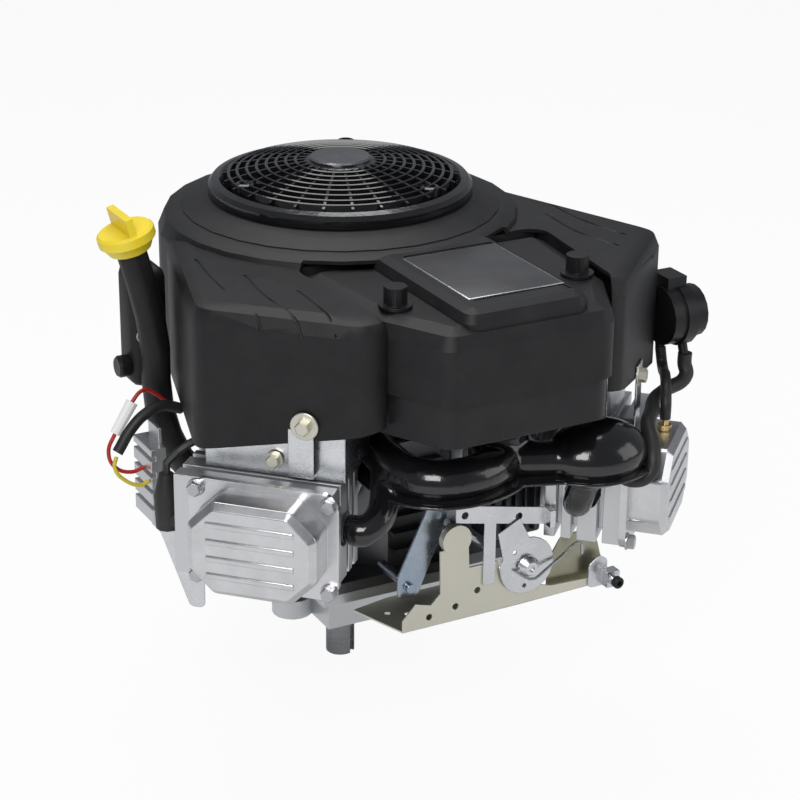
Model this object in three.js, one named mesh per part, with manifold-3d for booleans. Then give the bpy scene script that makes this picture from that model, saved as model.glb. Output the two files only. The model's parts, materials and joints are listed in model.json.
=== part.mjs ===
// A vertical-shaft V-twin gasoline engine for a riding mower, in millimetres with +Z up.
// The origin is where the crankshaft axis crosses the mounting face under the sump.
// The two cylinders open towards -Y: bank 1 points to -X-Y and bank 2 to +X-Y.
import * as THREE from 'three';
import { mergeVertices } from 'three/addons/utils/BufferGeometryUtils.js';
import Module from 'manifold-3d';

const wasm = await Module();
wasm.setup();

// Clearances
const GAP = 0.3;
const RUNNING = 0.2;

// Crankshaft
const SHAFT_R = 12.7;
const SHAFT_DROP = 80;
const KEYWAY_WIDTH = 6.35;
const KEYWAY_DEPTH = 3.2;
const KEYWAY_LENGTH = 52;
const KEYWAY_ANGLE = THREE.MathUtils.degToRad(-57);
const JOURNAL_R = 17.3;
const CRANK_THROW = 36.5;
const CRANKPIN_R = 17;
const WEB_THICK = 14.5;
const WEB_R = 54;

// Cylinders and pistons
const BANK_SPREAD = Math.PI / 4;
const BORE_R = 39.5;
const BANK_Z = { 1: 157, 2: 141 };
const ROD_LENGTH = 125;
const ROD_THICK = 15.5;
const DECK_D = 112;
const BARREL_END_D = 200;
const BARREL_R = 49;
const FIN_R = 61;
const FIN_THICK = 3;
const FIN_COUNT = 4;
const WRIST_PIN_R = 9;
const PISTON_CROWN = 32;
const PISTON_SKIRT = 16;

// Heads and rocker covers
const HEAD_END_D = 262;
const HEAD_HALF_HEIGHT = 41;
const COVER_OFFSET = 27;
const COVER_WIDTH = 120;
const COVER_HEIGHT = 88;
const COVER_FLANGE = 6;
const COVER_FACE_D = 298;
const COVER_BOX_WIDTH = 102;
const COVER_BOX_HEIGHT = 76;
const COVER_CORNER = 20;
const COVER_WALL = 3;

// Crankcase and sump
const SUMP_HEIGHT = 57;
const CASE_TOP = 208;
const CASE_R = 84;
const CASE_WALL = 8;
const SUMP_R = 96;
const CAM_BOX_HALF = 78;
const CAM_BOX_FRONT = 134;
const CAM_BOX_TOP = 176;
const MOUNT_CIRCLE_R = 127;
const MOUNT_HOLE_R = 4.8;
const FOOT_HEIGHT = 16;
const FOOT_WIDTH = 34;
const FOOT_RIB = 6;

// Timing gears and camshaft
const GEAR_MODULE = 3;
const CRANK_TEETH = 16;
const CAM_TEETH = 32;
const GEAR_Z = 60;
const GEAR_THICK = 12;
const CAM_AXIS_Y = -GEAR_MODULE * (CRANK_TEETH + CAM_TEETH) / 2;
const CAM_SHAFT_R = 9.8;

// Flywheel, fan and screen
const FLYWHEEL_R = 104;
const FLYWHEEL_TOP = 264;
const FLYWHEEL_BOTTOM = 224;
const SEAT_R = 14;
const RING_GEAR_TEETH = 36;
const RING_GEAR_R = 109;
const RING_GEAR_THICK = 9;
const FAN_R = 99;
const FAN_TOP = 334;
const FAN_BLADES = 8;
const SCREEN_R = 109;
const SCREEN_RIM = 12;
const SCREEN_BOTTOM = 350;
const SCREEN_RIM_TOP = 359;
const SCREEN_TOP = 379;
const SCREEN_HUB_R = 27;
const SCREEN_SPOKES = 6;
const SCREEN_RINGS = 1;

// Blower housing
const HOUSING_WALL = 3;
const HOUSING_BOTTOM = 214;
const DRUM_R = 151;
const DRUM_TOP = 340;
const WING_TOP = 331;
const WING_END_D = { 1: 248, 2: 262 };
const WING_BACK_S = { 1: -34, 2: -44 };
const WING_FRONT_S = 112;
const WING_EDGE_RISE = 30;
const NECK_R = 113;
const STEP_R = 132;
const NECK_TOP = 352;

// Air cleaner
const CLEANER_X = 14;
const CLEANER_FRONT_Y = -288;
const CLEANER_SHOULDER_Y = -232;
const CLEANER_FRONT_HALF = 70;
const CLEANER_SHOULDER_HALF = 100;
const CLEANER_BACK_HALF = 112;
const CLEANER_BACK_R = 143;
const CLEANER_CORNER = 16;
const COVER_LIP_Z = 270;
const CLEANER_TOP = 340;
const CLEANER_FLOOR = 236;
const CLEANER_WALL = 3;
const KNOB_SPAN = 158;
const KNOB_Y = -219;
const KNOB_R = 9;

const DARK_PLASTIC = { color: 0x222224, roughness: 0.55, metalness: 0 };
const GLOSS_PLASTIC = { color: 0x0b0b0c, roughness: 0.22, metalness: 0 };
const CAST_ALUMINIUM = { color: 0xb4b6b8, roughness: 0.42, metalness: 0.85 };
const DARK_CAST = { color: 0x3b3c3e, roughness: 0.5, metalness: 0.6 };
const SHEET_STEEL = { color: 0xc3c6c9, roughness: 0.32, metalness: 0.95 };
const ZINC = { color: 0xc8c6b4, roughness: 0.25, metalness: 0.95 };
const MACHINED = { color: 0x9a9890, roughness: 0.3, metalness: 1 };
const RUBBER = { color: 0x121213, roughness: 0.7, metalness: 0 };
const YELLOW = { color: 0xf2c411, roughness: 0.4, metalness: 0 };
const PAPER = { color: 0xd8cba4, roughness: 0.9, metalness: 0 };
const COPPER = { color: 0x8f4a24, roughness: 0.4, metalness: 0.7 };
const BRASS = { color: 0xb8923a, roughness: 0.3, metalness: 0.9 };

const engine = new THREE.Group();
const banks = { 1: new THREE.Group(), 2: new THREE.Group() };
banks[1].rotation.z = -Math.PI / 2 - BANK_SPREAD;
banks[2].rotation.z = -Math.PI / 2 + BANK_SPREAD;
engine.add(banks[1], banks[2]);

// ---- Solids ----

function solidOf(geometry) {
  const bare = new THREE.BufferGeometry();
  bare.setAttribute('position', geometry.getAttribute('position').clone());
  if (geometry.index) {
    bare.setIndex(geometry.index.clone());
  }
  const merged = mergeVertices(bare, 1e-4);
  const corners = merged.index.array;
  const kept = [];
  for (let i = 0; i < corners.length; i += 3) {
    const [a, b, c] = [corners[i], corners[i + 1], corners[i + 2]];
    if (a !== b && b !== c && c !== a) {
      kept.push(a, b, c);
    }
  }
  return new wasm.Manifold(new wasm.Mesh({
    numProp: 3,
    vertProperties: new Float32Array(merged.getAttribute('position').array),
    triVerts: new Uint32Array(kept),
  }));
}

function addPiece(name, solid, finish, parent = engine) {
  const mesh = solid.getMesh();
  const geometry = new THREE.BufferGeometry();
  geometry.setAttribute('position', new THREE.BufferAttribute(mesh.vertProperties, 3));
  geometry.setIndex(new THREE.BufferAttribute(mesh.triVerts, 1));
  geometry.computeVertexNormals();
  const piece = new THREE.Mesh(geometry, new THREE.MeshStandardMaterial(finish));
  piece.name = name;
  parent.add(piece);
  return piece;
}

function join(...solids) {
  return solids.reduce((sum, next) => sum.add(next));
}

function cut(body, ...tools) {
  return tools.reduce((rest, tool) => rest.subtract(tool), body);
}

function block(x0, x1, y0, y1, z0, z1) {
  const geometry = new THREE.BoxGeometry(x1 - x0, y1 - y0, z1 - z0);
  geometry.translate((x0 + x1) / 2, (y0 + y1) / 2, (z0 + z1) / 2);
  return solidOf(geometry);
}

function post(radius, z0, z1, x = 0, y = 0, sides = 16) {
  const geometry = new THREE.CylinderGeometry(radius, radius, z1 - z0, sides);
  geometry.rotateX(Math.PI / 2);
  geometry.translate(x, y, (z0 + z1) / 2);
  return solidOf(geometry);
}

// A round bar between two points, or a cone when the second radius differs.
function bar(from, to, radius, sides = 12, endRadius = radius) {
  const start = new THREE.Vector3(...from);
  const axis = new THREE.Vector3(...to).sub(start);
  const geometry = new THREE.CylinderGeometry(endRadius, radius, axis.length(), sides);
  geometry.translate(0, axis.length() / 2, 0);
  const turn = new THREE.Quaternion().setFromUnitVectors(
    new THREE.Vector3(0, 1, 0),
    axis.clone().normalize(),
  );
  geometry.applyQuaternion(turn);
  geometry.translate(start.x, start.y, start.z);
  return solidOf(geometry);
}

// A profile of [radius, height] pairs turned about Z.
function turned(profile, sides = 24) {
  const points = profile.map(([radius, height]) => new THREE.Vector2(radius, height));
  const geometry = new THREE.LatheGeometry(points, sides);
  geometry.rotateX(Math.PI / 2);
  return solidOf(geometry);
}

function ring(inner, outer, z0, z1, sides = 24) {
  return turned([[inner, z0], [outer, z0], [outer, z1], [inner, z1], [inner, z0]], sides);
}

function outward(from, to) {
  const length = Math.hypot(to[0] - from[0], to[1] - from[1]);
  return [(to[1] - from[1]) / length, (from[0] - to[0]) / length];
}

// Moves every edge of a counter-clockwise outline outwards.
function grown(outline, distance) {
  return outline.map((corner, i) => {
    const before = outward(outline.at(i - 1), corner);
    const after = outward(corner, outline[(i + 1) % outline.length]);
    const share = distance / (1 + before[0] * after[0] + before[1] * after[1]);
    return [corner[0] + (before[0] + after[0]) * share, corner[1] + (before[1] + after[1]) * share];
  });
}

// An outline whose corners are arcs tangent to both edges.
function roundedShape(outline, radius) {
  const shape = new THREE.Shape();
  outline.forEach((corner, i) => {
    const here = new THREE.Vector2(...corner);
    const back = new THREE.Vector2(...outline.at(i - 1)).sub(here);
    const on = new THREE.Vector2(...outline[(i + 1) % outline.length]).sub(here);
    const room = 0.48 * Math.min(back.length(), on.length());
    back.normalize();
    on.normalize();
    const turn = Math.PI - Math.acos(THREE.MathUtils.clamp(back.dot(on), -1, 1));
    const reach = Math.min(radius * Math.tan(turn / 2), room);
    const arcR = reach / Math.tan(turn / 2);
    const left = back.x * on.y - back.y * on.x < 0;
    const enter = here.clone().addScaledVector(back, reach);
    const normal = new THREE.Vector2(back.y, -back.x).multiplyScalar(left ? 1 : -1);
    const centre = enter.clone().addScaledVector(normal, arcR);
    const leave = here.clone().addScaledVector(on, reach);
    const startAngle = Math.atan2(enter.y - centre.y, enter.x - centre.x);
    const endAngle = Math.atan2(leave.y - centre.y, leave.x - centre.x);
    if (i === 0) {
      shape.moveTo(enter.x, enter.y);
    }
    shape.absarc(centre.x, centre.y, arcR, startAngle, endAngle, !left);
  });
  shape.closePath();
  return shape;
}

function flatShape(outline) {
  return new THREE.Shape(outline.map(([x, y]) => new THREE.Vector2(x, y)));
}

// A plate with an outline in the XY plane, its corners rounded when a radius is given.
function plate(outline, z0, z1, radius = 0, curveSegments = 2) {
  const shape = radius > 0 ? roundedShape(outline, radius) : flatShape(outline);
  const geometry = new THREE.ExtrudeGeometry(shape, {
    depth: z1 - z0,
    bevelEnabled: false,
    curveSegments,
  });
  geometry.translate(0, 0, z0);
  return solidOf(geometry);
}

// A block with an outline in the XY plane whose top edge is rounded over.
function domedPlate(outline, z0, z1, radius, edge, steps = 2) {
  const geometry = new THREE.ExtrudeGeometry(roundedShape(outline, radius), {
    depth: z1 - z0,
    bevelEnabled: true,
    bevelThickness: edge,
    bevelSize: edge,
    bevelOffset: -edge,
    bevelSegments: steps,
    curveSegments: 2,
  });
  geometry.translate(0, 0, z0 - edge);
  const whole = solidOf(geometry);
  const reach = 1000;
  return cut(whole, block(-reach, reach, -reach, reach, z0 - reach, z0));
}

// A plate standing in the YZ plane: its outline is [y, z] pairs.
function crossPlate(outline, x0, x1, radius = 0) {
  const shape = radius > 0 ? roundedShape(outline, radius) : flatShape(outline);
  const geometry = new THREE.ExtrudeGeometry(shape, {
    depth: x1 - x0,
    bevelEnabled: false,
    curveSegments: 2,
  });
  geometry.rotateX(Math.PI / 2);
  geometry.rotateZ(Math.PI / 2);
  geometry.translate(x0, 0, 0);
  return solidOf(geometry);
}

// A plate standing in the XZ plane: its outline is [x, z] pairs.
function frontPlate(outline, y0, y1, radius = 0) {
  const shape = radius > 0 ? roundedShape(outline, radius) : flatShape(outline);
  const geometry = new THREE.ExtrudeGeometry(shape, {
    depth: y1 - y0,
    bevelEnabled: false,
    curveSegments: 2,
  });
  geometry.rotateX(Math.PI / 2);
  geometry.translate(0, y1, 0);
  return solidOf(geometry);
}

function circleShape(radius, sides) {
  const points = [];
  for (let i = 0; i < sides; i += 1) {
    const angle = 2 * Math.PI * i / sides;
    points.push(new THREE.Vector2(radius * Math.cos(angle), radius * Math.sin(angle)));
  }
  return new THREE.Shape(points);
}

function tube(points, radius, sides = 8, steps = 24) {
  const path = new THREE.CatmullRomCurve3(points.map((p) => new THREE.Vector3(...p)));
  const geometry = new THREE.ExtrudeGeometry(circleShape(radius, sides), {
    steps,
    extrudePath: path,
    bevelEnabled: false,
  });
  return solidOf(geometry);
}

function moved(solid, matrix) {
  const mesh = solid.getMesh();
  const geometry = new THREE.BufferGeometry();
  geometry.setAttribute('position', new THREE.BufferAttribute(mesh.vertProperties, 3));
  geometry.setIndex(new THREE.BufferAttribute(mesh.triVerts, 1));
  geometry.applyMatrix4(matrix);
  return solidOf(geometry);
}

function turnedBy(solid, angle) {
  return moved(solid, new THREE.Matrix4().makeRotationZ(angle));
}

function shifted(solid, x, y, z) {
  return moved(solid, new THREE.Matrix4().makeTranslation(x, y, z));
}

// Lays what was built along Z along +X instead: X becomes Y and Y becomes Z.
function laidAlongX(solid) {
  return moved(solid, new THREE.Matrix4().set(0, 0, 1, 0, 1, 0, 0, 0, 0, 1, 0, 0, 0, 0, 0, 1));
}

// ---- Bank frames ----
// In a bank's own frame X runs out along the cylinder. S is the sideways distance
// towards the front of the engine: +Y in bank 1 and -Y in bank 2.

const BANK_ANGLE = { 1: -Math.PI / 2 - BANK_SPREAD, 2: -Math.PI / 2 + BANK_SPREAD };
const SIDE = { 1: 1, 2: -1 };

function bankBlock(bank, d0, d1, s0, s1, z0, z1) {
  const [y0, y1] = bank === 1 ? [s0, s1] : [-s1, -s0];
  return block(d0, d1, y0, y1, z0, z1);
}

function bankOutline(bank, outline) {
  return bank === 1 ? outline : outline.map(([d, s]) => [d, -s]).reverse();
}

function bankPoint(bank, d, s, z) {
  const spot = new THREE.Vector3(d, SIDE[bank] * s, z);
  spot.applyAxisAngle(new THREE.Vector3(0, 0, 1), BANK_ANGLE[bank]);
  return [spot.x, spot.y, spot.z];
}

function inEngine(bank, solid) {
  return turnedBy(solid, BANK_ANGLE[bank]);
}

// ---- Crankcase and sump ----

const CASE_BASE = SUMP_HEIGHT + GAP;
const CASE_FLANGE = 9;
const CASE_LIP = 9;
const BOSS_HALF = 52;
const BORE_CLEARANCE = 6.5;
const TOP_WALL = 12;
const CAM_BEARING_R = 15;
const CASE_FIN_HALF = 22;
const CAM_TOP_Z = 190;

function caseOutline(radius, half, front, z0, z1) {
  return join(post(radius, z0, z1, 0, 0, 20), block(-half, half, -front, 0, z0, z1));
}

// The box in front of the crank chamber, its front corners cut back to the cylinder decks.
function camBox(inset, z0, z1) {
  const half = CAM_BOX_HALF - inset;
  const front = CAM_BOX_FRONT - inset;
  const corner = (DECK_D - GAP - inset) / Math.sin(BANK_SPREAD);
  return plate([
    [-half, 0], [-half, half - corner], [front - corner, -front],
    [corner - front, -front], [half, half - corner], [half, 0],
  ], z0, z1);
}

function crankcase() {
  let body = join(
    post(CASE_R, CASE_BASE, CASE_TOP, 0, 0, 24),
    camBox(0, CASE_BASE, CAM_BOX_TOP),
    caseOutline(SUMP_R, CAM_BOX_HALF + CASE_LIP, CAM_BOX_FRONT + CASE_LIP, CASE_BASE, CASE_BASE + CASE_FLANGE),
  );
  for (const bank of [1, 2]) {
    const deck = bankBlock(bank, 50, DECK_D - GAP, -BOSS_HALF, BOSS_HALF, BANK_Z[bank] - BOSS_HALF, CASE_TOP);
    body = body.add(inEngine(bank, deck));
  }
  for (let z = CASE_BASE + 24; z < CAM_BOX_TOP - 8; z += 15) {
    const fin = block(-CASE_FIN_HALF, CASE_FIN_HALF, -CAM_BOX_FRONT - 7, -CAM_BOX_FRONT + 1, z, z + 3);
    body = body.add(fin);
  }
  body = cut(
    body,
    post(CASE_R - CASE_WALL, CASE_BASE - 1, CASE_TOP - TOP_WALL, 0, 0, 24),
    camBox(CASE_WALL, CASE_BASE - 1, CAM_BOX_TOP - CASE_WALL),
  );
  for (const bank of [1, 2]) {
    const z = BANK_Z[bank];
    const opening = bar([30, 0, z], [DECK_D + 1, 0, z], BORE_R + BORE_CLEARANCE, 24);
    body = body.subtract(inEngine(bank, opening));
  }
  body = body.add(post(CAM_BEARING_R, CAM_TOP_Z - 9, CASE_TOP - TOP_WALL + 1, 0, CAM_AXIS_Y));
  return cut(
    body,
    post(JOURNAL_R + RUNNING, CASE_TOP - TOP_WALL - 1, CASE_TOP + 1, 0, 0, 24),
    post(CAM_SHAFT_R + RUNNING, CAM_BOX_TOP - CASE_WALL - 1, CAM_TOP_Z + GAP, 0, CAM_AXIS_Y),
  );
}

const SEAL_HEIGHT = 3.4;
const SUMP_BOTTOM = 22;
const SUMP_FLOOR = 8;
const SHAFT_BOSS_R = 46;
const LOWER_BEARING_TOP = 34;
const CAM_FOOT_Z = SUMP_BOTTOM + 4;
const DRAIN = { x: -74, y: 40, z: 38 };

// A lug with a bolt hole, tied into the sump's side by two gussets.
function foot(angle) {
  const half = FOOT_WIDTH / 2;
  const top = SUMP_BOTTOM + FOOT_HEIGHT;
  const pad = join(
    block(SUMP_R - 20, MOUNT_CIRCLE_R, -half, half, SUMP_BOTTOM, top),
    post(half, SUMP_BOTTOM, top, MOUNT_CIRCLE_R),
  );
  const gusset = frontPlate(
    [[SUMP_R - 14, top - 1], [MOUNT_CIRCLE_R, top - 1], [SUMP_R - 14, SUMP_HEIGHT - 1]],
    -half, -half + FOOT_RIB,
  );
  const mate = shifted(gusset, 0, FOOT_WIDTH - FOOT_RIB, 0);
  const hole = post(MOUNT_HOLE_R, SUMP_BOTTOM - 1, top + 1, MOUNT_CIRCLE_R, 0, 12);
  return turnedBy(cut(join(pad, gusset, mate), hole), angle);
}

function sump() {
  const wall = SUMP_FLOOR;
  const floor = SUMP_BOTTOM + SUMP_FLOOR;
  let body = join(
    caseOutline(SUMP_R - 8, CAM_BOX_HALF, CAM_BOX_FRONT, SUMP_BOTTOM, SUMP_HEIGHT),
    caseOutline(
      SUMP_R, CAM_BOX_HALF + CASE_LIP, CAM_BOX_FRONT + CASE_LIP,
      SUMP_HEIGHT - CASE_FLANGE, SUMP_HEIGHT,
    ),
  );
  for (let i = 0; i < 4; i += 1) {
    body = body.add(foot(Math.PI / 4 + i * Math.PI / 2));
  }
  body = body.subtract(
    caseOutline(SUMP_R - 8 - wall, CAM_BOX_HALF - wall, CAM_BOX_FRONT - wall, floor, SUMP_HEIGHT + 1),
  );
  body = join(
    body,
    post(SHAFT_BOSS_R, 0, floor - 1, 0, 0, 24),
    post(JOURNAL_R + 10, floor - 2, LOWER_BEARING_TOP, 0, 0, 24),
    post(CAM_BEARING_R, floor - 1, CAM_FOOT_Z + 13, 0, CAM_AXIS_Y),
  );
  return cut(
    body,
    post(JOURNAL_R + RUNNING, -1, LOWER_BEARING_TOP + 1, 0, 0, 24),
    post(CAM_SHAFT_R + RUNNING, CAM_FOOT_Z - GAP, CAM_FOOT_Z + 15, 0, CAM_AXIS_Y),
    bar([-60, DRAIN.y, DRAIN.z], [-110, DRAIN.y, DRAIN.z], 7 + GAP, 16),
  );
}

function oilSeal() {
  return ring(SHAFT_R + GAP, JOURNAL_R - 0.1, GAP, SEAL_HEIGHT, 24);
}

function drainPlug() {
  const thread = bar([-66, DRAIN.y, DRAIN.z], [-84, DRAIN.y, DRAIN.z], 7, 16);
  const head = bar([-84, DRAIN.y, DRAIN.z], [-94, DRAIN.y, DRAIN.z], 9, 6);
  return join(thread, head);
}

// ---- Crankshaft, camshaft and running gear ----

const PIN_Z0 = BANK_Z[2] - ROD_THICK / 2 - GAP;
const PIN_Z1 = BANK_Z[1] + ROD_THICK / 2 + GAP;
const SHAFT_TOP = 286;
const THREAD_R = 8;
const SEAT_Z = 236;

// A spur gear outline: four points to a tooth, with one tooth centred on the phase angle.
function gearOutline(teeth, module, phase, thickness = 0.4) {
  const pitchR = teeth * module / 2;
  const tooth = 2 * Math.PI / teeth;
  const outline = [];
  for (let i = 0; i < teeth; i += 1) {
    const middle = phase + i * tooth;
    const points = [
      [pitchR - 1.2 * module, -0.5 * (thickness + 0.16)],
      [pitchR + 0.8 * module, -0.5 * (thickness - 0.18)],
      [pitchR + 0.8 * module, 0.5 * (thickness - 0.18)],
      [pitchR - 1.2 * module, 0.5 * (thickness + 0.16)],
    ];
    for (const [radius, share] of points) {
      const angle = middle + share * tooth;
      outline.push([radius * Math.cos(angle), radius * Math.sin(angle)]);
    }
  }
  return outline;
}

function crankWeb(z0, z1) {
  const toPin = post(CRANKPIN_R + 8, z0, z1, 0, -CRANK_THROW, 20);
  const waist = block(-CRANKPIN_R - 8, CRANKPIN_R + 8, -CRANK_THROW, 6, z0, z1);
  const counterweight = cut(
    post(WEB_R, z0, z1, 0, 0, 28),
    block(-WEB_R - 1, WEB_R + 1, -WEB_R - 1, 2, z0 - 1, z1 + 1),
  );
  return join(toPin, waist, counterweight);
}

function crankshaft() {
  const keyway = turnedBy(
    block(
      SHAFT_R - KEYWAY_DEPTH, SHAFT_R + 1,
      -KEYWAY_WIDTH / 2, KEYWAY_WIDTH / 2,
      -SHAFT_DROP - 1, -SHAFT_DROP + KEYWAY_LENGTH,
    ),
    KEYWAY_ANGLE,
  );
  const shaft = join(
    post(SHAFT_R, -SHAFT_DROP, SEAL_HEIGHT + 2, 0, 0, 24),
    post(JOURNAL_R, SEAL_HEIGHT + GAP, PIN_Z0 - 2, 0, 0, 24),
    plate(gearOutline(CRANK_TEETH, GEAR_MODULE, -Math.PI / 2), GEAR_Z, GEAR_Z + GEAR_THICK),
    crankWeb(PIN_Z0 - WEB_THICK, PIN_Z0),
    post(CRANKPIN_R, PIN_Z0 - 1, PIN_Z1 + 1, 0, -CRANK_THROW, 20),
    crankWeb(PIN_Z1, PIN_Z1 + WEB_THICK),
    post(JOURNAL_R, PIN_Z1 + 2, SEAT_Z - 8, 0, 0, 24),
    post(SEAT_R, SEAT_Z - 9, FLYWHEEL_TOP, 0, 0, 24),
    post(THREAD_R, FLYWHEEL_TOP - 1, SHAFT_TOP, 0, 0, 14),
  );
  return shaft.subtract(keyway);
}

const LOBE_Z = [80, 89, 98, 107];
const LOBE_THICK = 6;
const LOBE_R = 14;
const LOBE_LIFT = 6;
const LOBE_STEPS = 10;

function camshaft() {
  const phase = Math.PI / 2 + Math.PI / CAM_TEETH;
  let shaft = join(
    post(CAM_SHAFT_R, CAM_FOOT_Z, CAM_TOP_Z, 0, 0, 14),
    plate(gearOutline(CAM_TEETH, GEAR_MODULE, phase), GEAR_Z, GEAR_Z + GEAR_THICK),
  );
  LOBE_Z.forEach((z, i) => {
    const angle = i * Math.PI / 2 + 0.4;
    const outline = [];
    for (let step = 0; step < LOBE_STEPS; step += 1) {
      const around = 2 * Math.PI * step / LOBE_STEPS;
      const radius = LOBE_R + LOBE_LIFT * Math.max(0, Math.cos(around)) ** 2;
      outline.push([radius * Math.cos(around + angle), radius * Math.sin(around + angle)]);
    }
    shaft = shaft.add(plate(outline, z, z + LOBE_THICK));
  });
  return shifted(shaft, 0, CAM_AXIS_Y, 0);
}

const PIN_CLEARANCE = 0.5;
const BORE_SIDES = 18;

// The crankpin stands towards the front at rest, half a right angle from each bank.
const PIN_ALONG = CRANK_THROW * Math.cos(BANK_SPREAD);
const PIN_ACROSS = CRANK_THROW * Math.sin(BANK_SPREAD);
const WRIST_D = PIN_ALONG + Math.sqrt(ROD_LENGTH ** 2 - PIN_ACROSS ** 2);

function piston() {
  const outer = BORE_R - GAP;
  const inner = BORE_R - 6;
  const groove = WRIST_D + PISTON_CROWN - 9;
  const top = WRIST_D + PISTON_CROWN;
  const body = laidAlongX(turned([
    [0, top - 8], [inner, top - 8], [inner, WRIST_D - PISTON_SKIRT], [outer, WRIST_D - PISTON_SKIRT],
    [outer, groove], [outer - 2.5, groove], [outer - 2.5, groove + 2], [outer, groove + 2],
    [outer, top], [0, top],
  ], BORE_SIDES));
  return body.add(post(WRIST_PIN_R, -BORE_R + 3, BORE_R - 3, WRIST_D, 0, 16));
}

function rod(bank) {
  const bigEnd = [PIN_ALONG, SIDE[bank] * PIN_ACROSS];
  const half = ROD_THICK / 2;
  const lean = Math.atan2(-bigEnd[1], WRIST_D - bigEnd[0]);
  const shank = block(CRANKPIN_R + 4, ROD_LENGTH - WRIST_PIN_R - 3, -8, 8, -half + 3, half - 3);
  const whole = join(
    post(CRANKPIN_R + 6.5, -half, half, 0, 0, 22),
    post(WRIST_PIN_R + 5, -half, half, ROD_LENGTH, 0, 16),
    shank,
  );
  const bored = cut(
    whole,
    post(CRANKPIN_R + RUNNING, -half - 1, half + 1, 0, 0, 22),
    post(WRIST_PIN_R + PIN_CLEARANCE, -half - 1, half + 1, ROD_LENGTH, 0, 14),
  );
  return shifted(turnedBy(bored, lean), bigEnd[0], bigEnd[1], 0);
}

// ---- Cylinders, heads and covers, each in its bank's frame with Z from the bore axis ----

function cylinder() {
  const profile = [[BORE_R, DECK_D], [BARREL_R, DECK_D]];
  const pitch = (BARREL_END_D - DECK_D - 24) / (FIN_COUNT - 1);
  for (let i = 0; i < FIN_COUNT; i += 1) {
    const d = DECK_D + 12 + i * pitch - FIN_THICK / 2;
    profile.push([BARREL_R, d], [FIN_R, d], [FIN_R, d + FIN_THICK], [BARREL_R, d + FIN_THICK]);
  }
  profile.push([BARREL_R, BARREL_END_D - GAP], [BORE_R, BARREL_END_D - GAP], [BORE_R, DECK_D]);
  return laidAlongX(turned(profile, BORE_SIDES));
}

const HEAD_BACK_S = -47;
const HEAD_FRONT_S = 80;
const PORT_R = 14;
const PORT_D = 230;
const PLUG_D = 228;
const PLUG_Z = -14;
const PLUG_R = 7;

function head(bank) {
  const half = HEAD_HALF_HEIGHT;
  let body = bankBlock(bank, BARREL_END_D, HEAD_END_D, HEAD_BACK_S, HEAD_FRONT_S, -half, half);
  for (const d of [209, 222, 243]) {
    const slab = bankBlock(bank, d, d + 5, HEAD_BACK_S - 1, HEAD_FRONT_S + 1, -half - 1, half + 1);
    const core = bankBlock(bank, d - 1, d + 6, HEAD_BACK_S + 9, HEAD_FRONT_S - 9, -half + 9, half - 9);
    body = body.subtract(slab.subtract(core));
  }
  const side = SIDE[bank];
  return cut(
    body,
    bar([BARREL_END_D - 1, 0, 0], [BARREL_END_D + 7, 0, 0], BORE_R - 3, 20),
    bar([PORT_D, side * (HEAD_FRONT_S + 1), 0], [PORT_D, side * 40, 0], PORT_R, 14),
    post(PORT_R, -half - 1, -half + 34, PORT_D, side * 20, 14),
    bar([PLUG_D, side * (HEAD_BACK_S - 1), PLUG_Z], [PLUG_D, side * -14, PLUG_Z], PLUG_R + GAP, 12),
  );
}

function coverOutline(bank, width, height, chamfer) {
  const [w, h, c] = [width / 2, height / 2, chamfer];
  const middle = SIDE[bank] * COVER_OFFSET;
  return [
    [w - c, -h], [w, -h + c], [w, h - c], [w - c, h],
    [-w + c, h], [-w, h - c], [-w, -h + c], [-w + c, -h],
  ].map(([y, z]) => [middle + y, z]);
}

function rockerCover(bank) {
  const seat = HEAD_END_D + GAP;
  const flange = plate(coverOutline(bank, COVER_WIDTH, COVER_HEIGHT, 10), seat, seat + COVER_FLANGE, 8);
  const outline = coverOutline(bank, COVER_BOX_WIDTH, COVER_BOX_HEIGHT, COVER_CORNER);
  const box = domedPlate(outline, seat, COVER_FACE_D, 8, 5, 1);
  const inner = plate(grown(outline, -COVER_WALL), seat - 1, COVER_FACE_D - COVER_WALL);
  return laidAlongX(join(flange, box).subtract(inner));
}

// A hollow block of pressed steel over the cylinder, with a tab that reaches up in front of the housing.
const BAFFLE_D = 239;
const BAFFLE_THICK = 1.5;
const BAFFLE_TOP = 242;
const BAFFLE_BACK_S = -29;
const BAFFLE_FRONT_S = { 1: 83, 2: 47 };
const CHEEK_DEPTH = { 1: 60, 2: 10 };
const TAB_S = { 1: 51, 2: 36 };
const TAB_HALF = 10;
const TAB_BOTTOM = 46;

function baffle(bank) {
  const bottom = HEAD_HALF_HEIGHT + 1;
  const top = BAFFLE_TOP - BANK_Z[bank];
  const front = BAFFLE_FRONT_S[bank];
  const tabD = WING_END_D[bank] + GAP;
  const tabBack = TAB_S[bank] - TAB_HALF;
  const tabFront = TAB_S[bank] + TAB_HALF;
  return join(
    bankBlock(bank, BAFFLE_D, BAFFLE_D + BAFFLE_THICK, BAFFLE_BACK_S, front, bottom, top),
    bankBlock(
      bank, BAFFLE_D - CHEEK_DEPTH[bank], BAFFLE_D + BAFFLE_THICK, front - BAFFLE_THICK, front,
      bottom, CLEANER_FLOOR - 2 - BANK_Z[bank],
    ),
    bankBlock(bank, BAFFLE_D, tabD + BAFFLE_THICK, tabBack, tabFront, TAB_BOTTOM, TAB_BOTTOM + BAFFLE_THICK),
    bankBlock(bank, tabD, tabD + BAFFLE_THICK, tabBack, tabFront, TAB_BOTTOM, top),
  );
}

function sparkPlug(bank) {
  const side = SIDE[bank];
  const at = (s) => [PLUG_D, side * s, PLUG_Z];
  return join(
    bar(at(-18), at(HEAD_BACK_S - 4), PLUG_R, 12),
    bar(at(HEAD_BACK_S - GAP), at(HEAD_BACK_S - 8), 10, 6),
    bar(at(HEAD_BACK_S - 7), at(HEAD_BACK_S - 12), 4.5, 10),
  );
}

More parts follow.
